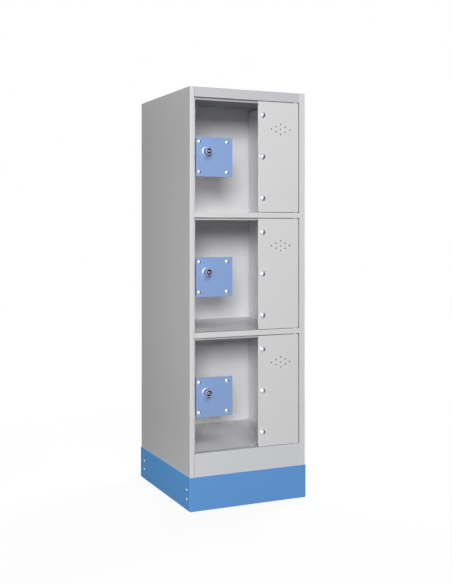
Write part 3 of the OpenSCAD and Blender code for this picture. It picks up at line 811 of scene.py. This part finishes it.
@dataclass(frozen=True)
class Thread:
    """Screw thread on a shank, from the chamfer at its tip up to a height."""

    diameter: float
    pitch: float
    tip: float
    high: float
    share: float = 0.55
    tip_share: float = 0.85
    rings_per_turn: int = 6

    @property
    def depth(self) -> float:
        """Depth of the groove, and height of the chamfer at each of its ends."""
        return self.share * self.pitch

    def rings(self, count: int) -> tuple[np.ndarray, np.ndarray]:
        """Rings of the thread, whose ridge climbs one pitch in a turn.

        The radius is the outer one less the depth times |2 f - 1|, where f is the
        fraction of (height / pitch - angle / turn).

        Args:
            count: Angles in a ring.

        Returns:
            Outlines and heights of the rings.
        """
        low = self.tip + self.depth
        turns = (self.high - low) / self.pitch
        height = np.linspace(low, self.high, int(turns * self.rings_per_turn) + 2)[:, None]
        phase = (height / self.pitch - angles(count) / TURN) % 1
        radius = self.diameter / 2 - self.depth * np.abs(2 * phase - 1)
        return radius[..., None] * directions(count), np.repeat(height, count, axis=1)

    def shank(self, head: np.ndarray, count: int = 40) -> Shell:
        """Shank that runs down from a head at height zero.

        Args:
            head: Profile of the head from its underside at the shank to its crown.
            count: Angles round the shank.

        Returns:
            The shell of shank and head.
        """
        outer = self.diameter / 2
        tip = [(0, self.tip), ((outer - self.depth) * self.tip_share, self.tip)]
        neck = [(outer, self.high + self.depth), (outer, 0)]
        parts = (spun(tip, count), self.rings(count), spun(np.concatenate([neck, head]), count))
        return Shell.lofted(*(np.concatenate(rings) for rings in zip(*parts)))


@dataclass(frozen=True)
class Screw(ABC):
    """Headed screw, whose shank is plain under its head and threaded below."""

    head_w: float
    head_h: float
    thread_d: float
    pitch: float
    plain: float

    @abstractmethod
    def shell(self, thread: Thread) -> Shell:
        """The screw with its head on height zero."""

    def fitted(self, span: Span, facing: Facing) -> Shell:
        """Fit the screw into a box, with its head at the end that a direction names.

        Args:
            span: The screw's box.
            facing: Direction from its tip to its head.

        Returns:
            The screw's shell in its place.
        """
        tip = self.head_h - span.along(facing)
        shell = self.shell(Thread(self.thread_d, self.pitch, tip, -self.plain))
        return shell.placed(span.seat(facing, self.head_h), facing)


@dataclass(frozen=True)
class DomedScrew(Screw):
    """Screw with a domed head, whose rim leans out a little above the underside."""

    rim_in: float = 0.4 * MM
    rim_h: float = 0.35 * MM
    dome_from: float = 0.5 * MM

    def shell(self, thread: Thread) -> Shell:
        """Shape the screw with its head on height zero.

        Args:
            thread: The thread of its shank.

        Returns:
            The screw's shell.
        """
        dome = cap_profile(self.head_w - self.rim_in, self.head_h)
        rim = [(self.head_w / 2 - self.rim_in, 0), (self.head_w / 2, self.rim_h)]
        return thread.shank(np.concatenate([rim, dome[dome[:, 1] > self.dome_from]]))


@dataclass(frozen=True)
class HexScrew(Screw):
    """Screw with a hexagon head, in which its shank ends."""

    shank_share: float = 0.25

    def shell(self, thread: Thread) -> Shell:
        """The screw with its head on height zero."""
        shank = thread.shank(np.array([(0, self.head_h * self.shank_share)]))
        return Shell.joined([shank, Hexagon(self.head_w, self.head_h).shell()])


@dataclass(frozen=True)
class BlindRivet:
    """Head of a blind rivet, with the mandrel's end in its crown."""

    head_d: float = 8 * MM
    head_h: float = 1.5 * MM
    mandrel_d: float = 2.2 * MM
    end_shares: Triple = (0.9, 0.7, 0.6)
    end_drops: Pair = (0.4 * MM, 0.3 * MM)

    def shell(self) -> Shell:
        """Shape the head from height zero up.

        Returns:
            The shell, whose profile dips round the mandrel's end.
        """
        hole = self.mandrel_d / 2
        dome = cap_profile(self.head_d, self.head_h)
        dome = dome[dome[:, 0] > hole]
        rim = dome[-1, 1]
        wall, foot, end = (hole * share for share in self.end_shares)
        inside = [
            (hole, rim), (wall, rim - self.end_drops[0]), (foot, rim - self.end_drops[1]),
            (end, self.head_h), (0, self.head_h),
        ]
        return turned(np.concatenate([[(0, 0)], dome, inside]))


def nut(span: Span, facing: Facing, thread_d: float, gap: float = 0.1 * MM) -> Shell:
    """Nut that fills a box, with its flats across the box's narrower width.

    Args:
        span: The nut's box.
        facing: Direction of its axis.
        thread_d: Diameter of the thread that it is on.
        gap: How much wider its bore is.

    Returns:
        The nut's shell.
    """
    hexagon = Hexagon(span.flats(facing), span.along(facing), thread_d + gap)
    return hexagon.shell().placed(span.start(facing), facing)


def linked(name: str, data: bpy.types.ID) -> bpy.types.Object:
    """Add an object to the scene.

    Args:
        name: The object's name.
        data: Its mesh, lamp or camera.

    Returns:
        The new object, at the origin.
    """
    item = bpy.data.objects.new(name, data)
    bpy.context.scene.collection.objects.link(item)
    return item


def shade(mesh: bpy.types.Mesh) -> None:
    """Smooth shading that keeps the sharp edges."""
    mesh.shade_smooth()
    mesh.set_sharp_from_angle(angle=SHARP_EDGE)


def build_mesh(name: str, shell: Shell) -> bpy.types.Object:
    """Make a shell an object, with its poles and seams closed and its faces outwards.

    Args:
        name: The object's name.
        shell: Points, faces and marks.

    Returns:
        The object, at the origin.
    """
    mesh = bpy.data.meshes.new(name)
    mesh.from_pydata(shell.points.tolist(), [], shell.faces.tolist())
    if shell.marks.any():
        mark = mesh.attributes.new(PLUG_FACE.attribute, "FLOAT", "POINT")
        mark.data.foreach_set("value", shell.marks)
    work = bmesh.new()
    work.from_mesh(mesh)
    bmesh.ops.remove_doubles(work, verts=work.verts, dist=SEAM)
    bmesh.ops.dissolve_degenerate(work, dist=SEAM / 10, edges=work.edges)
    bmesh.ops.recalc_face_normals(work, faces=work.faces)
    work.to_mesh(mesh)
    work.free()
    shade(mesh)
    return linked(name, mesh)


def dress_node(node: str, finish: Finish) -> None:
    """Put a finish on a node of the frame that stays as it is.

    Args:
        node: The node.
        finish: Its finish.
    """
    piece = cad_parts[node]
    piece.data.materials.clear()
    piece.data.materials.append(finish.material)
    log.info("%s keeps its shape and takes %s", node, finish.name)


def dress_piece(piece: bpy.types.Object, finish: Finish, body: str, *nodes: str) -> None:
    """Put a finish on a new piece, tie it to its body and let it stand for nodes.

    Args:
        piece: The new piece.
        finish: Its finish.
        body: The body that it moves with.
        nodes: The nodes that it stands for.
    """
    piece.data.materials.clear()
    piece.data.materials.append(finish.material)
    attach(piece, body)
    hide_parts(*nodes)
    log.info("%s: %d faces, stands for %s", piece.name, len(piece.data.polygons), ", ".join(nodes))


def add_piece(name: str, shells: Sequence[Shell], finish: Finish, body: str, node: str) -> None:
    """Make one dressed piece of several shells.

    Args:
        name: The piece's name.
        shells: Its shells, in place.
        finish: Its finish.
        body: The body that it moves with.
        node: The node that it stands for.
    """
    dress_piece(build_mesh(name, Shell.joined(shells)), finish, body, node)


def add_eased(
    name: str, node: str, finish: Finish, body: str, edge: float, segments: int = 2,
) -> None:
    """Dress a copy of a node, with its flat stretches joined and its edges rounded.

    Args:
        name: The new piece's name.
        node: The node to copy.
        finish: The copy's finish.
        body: The body that it moves with.
        edge: Width of the rounded edges.
        segments: Faces across a rounded edge.
    """
    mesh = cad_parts[node].data.copy()
    mesh.name = name
    work = bmesh.new()
    work.from_mesh(mesh)
    bmesh.ops.remove_doubles(work, verts=work.verts, dist=2 * SEAM)
    bmesh.ops.dissolve_limit(
        work, angle_limit=FLAT_EDGE, verts=work.verts, edges=work.edges, delimit=set())
    work.to_mesh(mesh)
    work.free()
    shade(mesh)
    piece = linked(name, mesh)
    bevel = piece.modifiers.new("edges", "BEVEL")
    bevel.width = edge
    bevel.segments = segments
    bevel.limit_method = "ANGLE"
    bevel.angle_limit = EASED_EDGE
    bevel.use_clamp_overlap = True
    bevel.harden_normals = True
    dress_piece(piece, finish, body, node)


@dataclass
class Carcass:
    """Steel body: its sheets keep the frame's shapes, and its bushes are turned."""

    sheets: dict[str, PowderCoat] = field(default_factory=lambda: {
        "side_panel_left": BODY_PAINT, "side_panel_right": BODY_PAINT, "back_panel": BODY_PAINT,
        "top_panel": SHADED_TOP_PAINT, "shelf_upper": SHELF_PAINT, "shelf_lower": SHELF_PAINT,
        "bottom_panel": SHADED_BOTTOM_PAINT,
    })
    keeper_edge: float = 0.4 * MM
    door_gap: float = 2 * MM
    bush_flange_d: float = 11 * MM
    bush_flange_t: float = 1.7 * MM
    bush_d: float = 7.9 * MM
    bush_bore_d: float = 6.1 * MM
    bush_len: float = 3 * MM
    bush_round: float = 0.3 * MM

    def bush(self) -> Shell:
        """Shape a bush with its flange's underside at height zero.

        Returns:
            The bush's shell.
        """
        bore, sleeve, flange = (d / 2 for d in (self.bush_bore_d, self.bush_d, self.bush_flange_d))
        return turned(rounded([
            (bore, -self.bush_len / 2), (bore, -self.bush_len), (sleeve, -self.bush_len),
            (sleeve, 0), (flange, 0), (flange, self.bush_flange_t), (bore, self.bush_flange_t),
            (bore, -self.bush_len / 2),
        ], self.bush_round))

    def build(self) -> None:
        """Dress the sheets and make the keepers and the bushes."""
        for node, paint in self.sheets.items():
            dress_node(node, paint)
        add_eased("bolt_keepers_eased", "bolt_keepers", ZINC, "root", self.keeper_edge)
        bush, bushes = self.bush(), []
        for door in DOORS:
            leaf, pin = Span.of(f"{door}_leaf"), Span.of(f"{door}_hinge_pins").centre
            below, above = leaf.low.z - self.door_gap, leaf.high.z + self.door_gap
            bushes += [
                bush.placed((pin.x, pin.y, below), Facing.UP),
                bush.placed((pin.x, pin.y, above), Facing.DOWN),
            ]
        add_piece("bush_set", bushes, PLASTIC, "root", "hinge_bushes")


@dataclass
class Plinth:
    """Blue skirt with its rivets and the bolts between skirt and body."""

    skirts: dict[str, PowderCoat] = field(default_factory=lambda: {
        "plinth_front": PLINTH_PAINT, "plinth_back": PLINTH_PAINT,
        "plinth_left": LIT_SKIRT_PAINT, "plinth_right": LIT_SKIRT_PAINT,
    })
    rivet: BlindRivet = BlindRivet()
    foot_bolt: HexScrew = HexScrew(
        head_w=9.9 * MM, head_h=4.2 * MM, thread_d=6 * MM, pitch=1 * MM, plain=2 * MM)

    def build(self) -> None:
        """Dress the skirts and make the rivets, bolts and nuts."""
        for node, paint in self.skirts.items():
            dress_node(node, paint)
        rivets = []
        for span in solids("plinth_rivets"):
            side = Facing.LEFT if span.centre.x < 0 else Facing.RIGHT
            rivets.append(self.rivet.shell().placed(span.seat(side, self.rivet.head_h), side))
        add_piece("rivet_set", rivets, RIVET_ALLOY, "root", "plinth_rivets")
        bolts = [self.foot_bolt.fitted(span, Facing.UP) for span in solids("foot_bolts")]
        add_piece("foot_bolt_set", bolts, ZINC, "root", "foot_bolts")
        nuts = [nut(span, Facing.UP, self.foot_bolt.thread_d) for span in solids("foot_nuts")]
        add_piece("foot_nut_set", nuts, ZINC, "root", "foot_nuts")


@dataclass(frozen=True)
class Lock:
    """Cylinder lock: a chromed barrel and a plug that turns in it."""

    name: str
    flange_d: float = 29 * MM
    flange_t: float = 3 * MM
    flange_side: float = 0.6
    nose_d: float = 22 * MM
    nose_foot: float = 0.6 * MM
    nose_chamfer: float = 0.8 * MM
    mouth_chamfer: float = 0.6 * MM
    barrel_d: float = 21 * MM
    barrel_round: float = 0.5 * MM
    plug_d: float = 17 * MM
    plug_gap: float = 0.05 * MM
    plug_inset: float = 0.6 * MM
    plug_round: float = 0.25 * MM
    rim_w: float = 0.8 * MM
    rim_slope: float = 0.4 * MM
    ring_depth: float = 2.5 * MM
    core_size: Pair = (12 * MM, 7 * MM)
    core_slope: float = 0.5 * MM
    core_chamfer: Pair = (0.6 * MM, 0.3 * MM)
    core_from: float = 0.1 * MM
    key_size: Pair = (9 * MM, 1.8 * MM)
    key_depth: float = 9 * MM
    cam_d: float = 40.1 * MM
    cam_t: float = 3 * MM
    cam_gap: float = 0.3 * MM
    pin_d: float = 5 * MM
    pin_inset: float = 2 * MM
    pin_angle: float = radians(45)
    pin_round: float = 0.3 * MM
    pin_sides: int = 32
    sides: int = 64

    def barrel(self, length: float, plate: float) -> Shell:
        """Barrel from its rear end at height zero to its nose.

        Args:
            length: Its whole length.
            plate: Height of the flange's underside.

        Returns:
            The barrel's shell.
        """
        bore = self.plug_d / 2 + self.plug_gap
        tube, flange, nose = self.barrel_d / 2, self.flange_d / 2, self.nose_d / 2
        top = plate + self.flange_t
        return turned(rounded([
            (bore, length / 2), (bore, 0), (tube, 0), (tube, plate), (flange, plate),
            (flange, plate + self.flange_t * self.flange_side), (nose + self.nose_foot, top),
            (nose, top), (nose, length - self.nose_chamfer), (nose - self.nose_chamfer, length),
            (bore + self.mouth_chamfer, length), (bore, length - self.mouth_chamfer),
            (bore, length / 2),
        ], self.barrel_round), self.sides)

    def plug(self, length: float) -> Shell:
        """Plug from its cam's rear at height zero, with a ring round its oval core and a key slot.

        From the ring's outer edge to the core the circles turn to ovals: their heights shrink
        by a share that grows evenly with the radius. The rings between the slot and the core's
        rim lie on lines from one outline to the other.

        Args:
            length: Its whole length.

        Returns:
            The plug's shell, whose core is marked.
        """
        cam, rim, core = self.cam_d / 2, self.plug_d / 2, self.core_size[0] / 2
        face, floor = length - self.plug_inset, length - self.ring_depth
        outer, inner = rim - self.rim_w - self.rim_slope, core + self.core_slope
        outside = rounded([
            (0, 0), (cam, 0), (cam, self.cam_t), (rim, self.cam_t), (rim, face),
            (rim - self.rim_w, face), (outer, floor), (inner, floor),
            (core, length - self.core_chamfer[1]), (core - self.core_chamfer[0], length),
        ], self.plug_round)
        around, heights = spun(outside, self.sides)
        oval = self.core_size[1] / self.core_size[0]
        around[:, :, 1] *= np.interp(outside[:, :1], (inner, outer), (oval, 1.0))
        slot = slot_outline(*self.key_size, self.sides)
        halfway = (around[-1] + slot) / 2
        deep = length - self.key_depth
        inside = np.repeat([[length], [length], [deep], [deep]], self.sides, axis=1)
        return Shell.lofted(
            np.concatenate([around, [halfway, slot, slot, slot * 0]]),
            np.concatenate([heights, inside]),
            marked_above=face + self.core_from,
        )

    def drive_pin(self, length: float) -> Shell:
        """Pin that stands on the cam, from height zero up."""
        path = [(0, 0), (self.pin_d / 2, 0), (self.pin_d / 2, length), (0, length)]
        return turned(rounded(path, self.pin_round), self.pin_sides)

    def build(self) -> None:
        """Make and dress the barrel and the plug."""
        body, plug, plate, slider = (
            Span.of(f"{self.name}_lock_{piece}") for piece in ("barrel", "plug", "plate", "bolt"))
        barrel = self.barrel(body.along(Facing.FRONT), body.high.y - plate.low.y)
        barrel = barrel.placed(body.start(Facing.FRONT), Facing.FRONT)
        add_piece(f"{self.name}_barrel_turned", [barrel], CHROME, f"{self.name}_door",
                  f"{self.name}_lock_barrel")

        axis = body.centre
        rear = slider.low.y - self.cam_gap
        reach = ((self.cam_d - self.pin_d) / 2 - self.pin_inset) * np.sin(self.pin_angle)
        pin = self.drive_pin(plug.high.y - rear + self.cam_t / 2)
        shells = [
            self.plug(rear - plug.low.y).placed((axis.x, rear, axis.z), Facing.FRONT),
            pin.placed((axis.x + reach, plug.high.y, axis.z + reach), Facing.FRONT),
        ]
        add_piece(f"{self.name}_plug_turned", shells, PLUG_FACE, f"{self.name}_plug",
                  f"{self.name}_lock_plug")


@dataclass(frozen=True)
class Door:
    """One door: leaf, clear pane, lock plate and their fasteners."""

    name: str
    pane_bolt: DomedScrew = DomedScrew(
        head_w=20 * MM, head_h=5.5 * MM, thread_d=8 * MM, pitch=1.25 * MM, plain=8 * MM)
    plate_screw: DomedScrew = DomedScrew(
        head_w=12 * MM, head_h=3 * MM, thread_d=5 * MM, pitch=0.8 * MM, plain=9 * MM)
    pin_d: float = 6 * MM
    pin_chamfer: Pair = (0.6 * MM, 0.9 * MM)
    pin_round: float = 0.25 * MM
    collar_d: float = 7.6 * MM
    collar_h: float = 3 * MM
    edge: float = 0.5 * MM
    sheet_edge: float = 0.3 * MM

    @property
    def body(self) -> str:
        """Name of the door's body."""
        return self.node("door")

    def node(self, piece: str) -> str:
        """Full name of one of the door's nodes, bodies or pieces."""
        return f"{self.name}_{piece}"

    def add_zinc(self, piece: str, shells: Sequence[Shell], node: str) -> None:
        """Make one zinc-plated piece of the door."""
        add_piece(self.node(piece), shells, ZINC, self.body, self.node(node))

    def build_eased(self) -> None:
        """The pane, the plates and the sliding bolt, which keep the frame's shapes."""
        for piece in ("backing_strip", "lock_case", "case_cover"):
            node = self.node(piece)
            add_eased(f"{node}_eased", node, ZINC, self.body, self.sheet_edge)
        node = self.node("lock_bolt")
        add_eased(f"{node}_eased", node, ZINC, self.node("bolt"), self.edge)
        add_eased(self.node("pane_sheet"), self.node("pane"), CLEAR_SHEET, self.body, self.edge)
        add_eased(
            self.node("plate_face"), self.node("lock_plate"), PLATE_PAINT, self.body, self.edge)

    def build_screws(self) -> None:
        """Pane bolts and plate screws."""
        for piece, node, screw in (
            ("pane_bolt_set", "pane_bolts", self.pane_bolt),
            ("plate_screw_set", "plate_screws", self.plate_screw),
        ):
            fitted = [screw.fitted(span, Facing.FRONT) for span in solids(self.node(node))]
            self.add_zinc(piece, fitted, node)

    def build_nuts(self) -> None:
        """Nuts of the bolts and screws, and of the barrel, whose nut is the widest of its node."""
        pane, bore = solids(self.node("pane_nuts")), self.pane_bolt.thread_d
        self.add_zinc("pane_nut_set", [nut(span, Facing.BACK, bore) for span in pane], "pane_nuts")
        lock = sorted(solids(self.node("lock_nuts")), key=lambda span: span.flats(Facing.BACK))
        bores = [self.plate_screw.thread_d] * (len(lock) - 1) + [Lock(self.name).barrel_d]
        nuts = [nut(span, Facing.BACK, bore) for span, bore in zip(lock, bores)]
        self.add_zinc("lock_nut_set", nuts, "lock_nuts")

    def build_pins(self) -> None:
        """Hinge pins: chamfered at the end in the bush, with a collar inside the leaf."""
        pin, collar = self.pin_d / 2, self.collar_d / 2
        inset, rise = self.pin_chamfer
        spans = sorted(solids(self.node("hinge_pins")), key=lambda span: span.low.z)
        pins = []
        for span, facing in zip(spans, (Facing.UP, Facing.DOWN)):
            length = span.along(facing)
            profile = rounded([
                (0, 0), (pin - inset, 0), (pin, rise), (pin, length - self.collar_h),
                (collar, length - self.collar_h), (collar, length), (0, length),
            ], self.pin_round)
            pins.append(turned(profile).placed(span.start(facing), facing))
        self.add_zinc("hinge_pin_set", pins, "hinge_pins")

    def build(self) -> None:
        """Make and dress the whole door."""
        dress_node(self.node("leaf"), BODY_PAINT)
        self.build_eased()
        self.build_screws()
        self.build_nuts()
        self.build_pins()
        Lock(self.name).build()


@dataclass(frozen=True)
class SoftBox:
    """Studio lamp of a width and a height, aimed at a height on the locker's axis.

    Light is how bright a white surface at the target and square to the lamp becomes, where 1 is
    white. Azimuth 0 is straight in front, and grows to the left.
    """

    name: str
    azimuth: float
    elevation: float
    distance: float
    size: Pair
    light: float
    aim: float = 650 * MM

    @property
    def power(self) -> float:
        """Watts that give the light at this distance: light (pi d)^2."""
        return self.light * (pi * self.distance) ** 2

    def build(self) -> None:
        """Place and aim the lamp."""
        lamp = bpy.data.lights.new(self.name, "AREA")
        lamp.shape = "RECTANGLE"
        lamp.size, lamp.size_y = self.size
        lamp.energy = self.power
        azimuth, elevation = radians(self.azimuth), radians(self.elevation)
        way = Vector((
            -np.sin(azimuth) * np.cos(elevation), -np.cos(azimuth) * np.cos(elevation),
            np.sin(elevation),
        ))
        item = linked(self.name, lamp)
        item.location = Vector((0, 0, self.aim)) + way * self.distance
        item.rotation_euler = way.to_track_quat("Z", "Y").to_euler()
        log.info("%s at %.0f degrees, %.0f up", self.name, self.azimuth, self.elevation)


@dataclass(frozen=True)
class DimSide:
    """Side of the studio that mirrors show dim, which gives metal its dark edges.

    The world fades by a direction's cosine to this side, and the floor by the distance along
    an axis.
    """

    way: Triple
    axis: str
    strength: float
    angle: Pair
    reach: Pair = (0.1, 1.0)

    def in_world(self, recipe: Recipe, way: Signal) -> Signal:
        """Share of the world's light that is left in a direction."""
        cosine = recipe.measure("DOT_PRODUCT", {0: way, 1: self.way})
        return recipe.ramp(cosine, self.angle, (1.0, self.strength))

    def on_floor(self, recipe: Recipe, place: Signal) -> Signal:
        """Share of the floor's glow that is left at a place."""
        along = dict(zip("XYZ", recipe.axes(place)))[self.axis]
        return recipe.ramp(along, self.reach, (1.0, self.strength))


@dataclass
class Studio:
    """White studio: floor, world, lamps and the camera that looks as the photograph does."""

    eye: Triple = (-1264.06 * MM, -2844.61 * MM, 863.62 * MM)
    yaw: float = -0.4234
    lens: float = 57.30
    sensor: float = 36.0
    shift_y: float = -0.1078
    sight: float = 60.0
    ambient: float = 0.03
    dim_sides: tuple[DimSide, ...] = (
        DimSide((0.85, 0.1, -0.5), "X", 0.12, (0.0, 0.55)),
        DimSide((-0.35, 0.94, 0.0), "Y", 0.2, (0.0, 0.8)),
    )
    floor_size: float = 14.0
    floor_tone: Tone = (95, 95, 95)
    floor_roughness: float = 0.9
    floor_glow: Pair = (0.89, 1.0)
    floor_reach: Pair = (1.0, 5.0)
    lamps: list[SoftBox] = field(default_factory=lambda: [
        SoftBox("key", 24, 12.2, 5.8, (1.25, 1.05), 0.635),
        SoftBox("side_fill", 75, 3, 1.2, (0.4, 1.1), 0.155, 620 * MM),
        SoftBox("overhead", 10, 36, 6.0, (2.5, 1.6), 0.31, 600 * MM),
        SoftBox("right_rear", -118, 38, 4.5, (2.0, 2.0), 0.65),
        SoftBox("rear", 178, 30, 4.5, (2.0, 2.0), 0.35),
    ])

    def rays(self, recipe: Recipe) -> tuple[Signal, Signal]:
        """Tell the rays apart that reach a surface.

        Args:
            recipe: The surface's recipe.

        Returns:
            1 on rays from the camera or through clear sheets, and 1 on mirror rays.
        """
        path = recipe.add("ShaderNodeLightPath")
        names = ("Is Camera Ray", "Is Glossy Ray", "Is Transmission Ray")
        camera, glossy, through = (Signal(recipe, path.outputs[name]) for name in names)
        return camera.most(through), glossy

    def build_world(self) -> None:
        """White for seen rays, a studio with dim sides for mirrors, and soft light."""
        world = bpy.data.worlds.new("studio")
        world.use_nodes = True
        bpy.context.scene.world = world
        recipe = Recipe(world.node_tree)
        seen, mirror = self.rays(recipe)
        way = recipe.read("ShaderNodeTexCoord", "Generated")
        for side in self.dim_sides:
            mirror = mirror * side.in_world(recipe, way)
        strength = seen.most(mirror).most(self.ambient)
        back = recipe.add("ShaderNodeBackground", None, {"Color": WHITE, "Strength": strength})
        recipe.add("ShaderNodeOutputWorld", None, {"Surface": Signal(recipe, back.outputs[0])})

    def build_floor(self) -> None:
        """Pale floor that is white where it is lit and keeps a soft shadow."""
        material, recipe = start("pale_floor")
        seen, mirror = self.rays(recipe)
        place = recipe.place()
        for side in self.dim_sides:
            mirror = mirror * side.on_floor(recipe, place)
        glow = recipe.ramp(
            recipe.measure("LENGTH", {0: place}), self.floor_reach, self.floor_glow)
        recipe.principled({
            "Base Color": linear(self.floor_tone),
            "Roughness": self.floor_roughness,
            "Specular IOR Level": 0.0,
            "Emission Color": recipe.blend(seen.most(mirror) * glow, BLACK, WHITE),
            "Emission Strength": 1.0,
        })
        half = self.floor_size / 2
        mesh = bpy.data.meshes.new("floor")
        corners = [(-half, -half, 0), (half, -half, 0), (half, half, 0), (-half, half, 0)]
        mesh.from_pydata(corners, [], [(0, 1, 2, 3)])
        mesh.materials.append(material)
        linked("floor", mesh)

    def build_camera(self) -> None:
        """Level camera in front of the locker's left front corner."""
        camera = bpy.data.cameras.new("camera")
        camera.lens = self.lens
        camera.sensor_width = self.sensor
        camera.shift_y = self.shift_y
        camera.clip_end = self.sight
        item = linked("camera", camera)
        item.location = self.eye
        item.rotation_euler = (pi / 2, 0, self.yaw)
        bpy.context.scene.camera = item

    def build(self) -> None:
        """Set the whole stage."""
        bpy.context.scene.view_settings.view_transform = "Standard"
        self.build_camera()
        self.build_world()
        self.build_floor()
        for lamp in self.lamps:
            lamp.build()


def main() -> None:
    """Build the locker's looks and its studio."""
    logging.basicConfig(level=logging.INFO, format="%(name)s: %(message)s")
    Studio().build()
    Carcass().build()
    Plinth().build()
    for name in DOORS:
        Door(name).build()


if __name__ == "__main__":
    main()
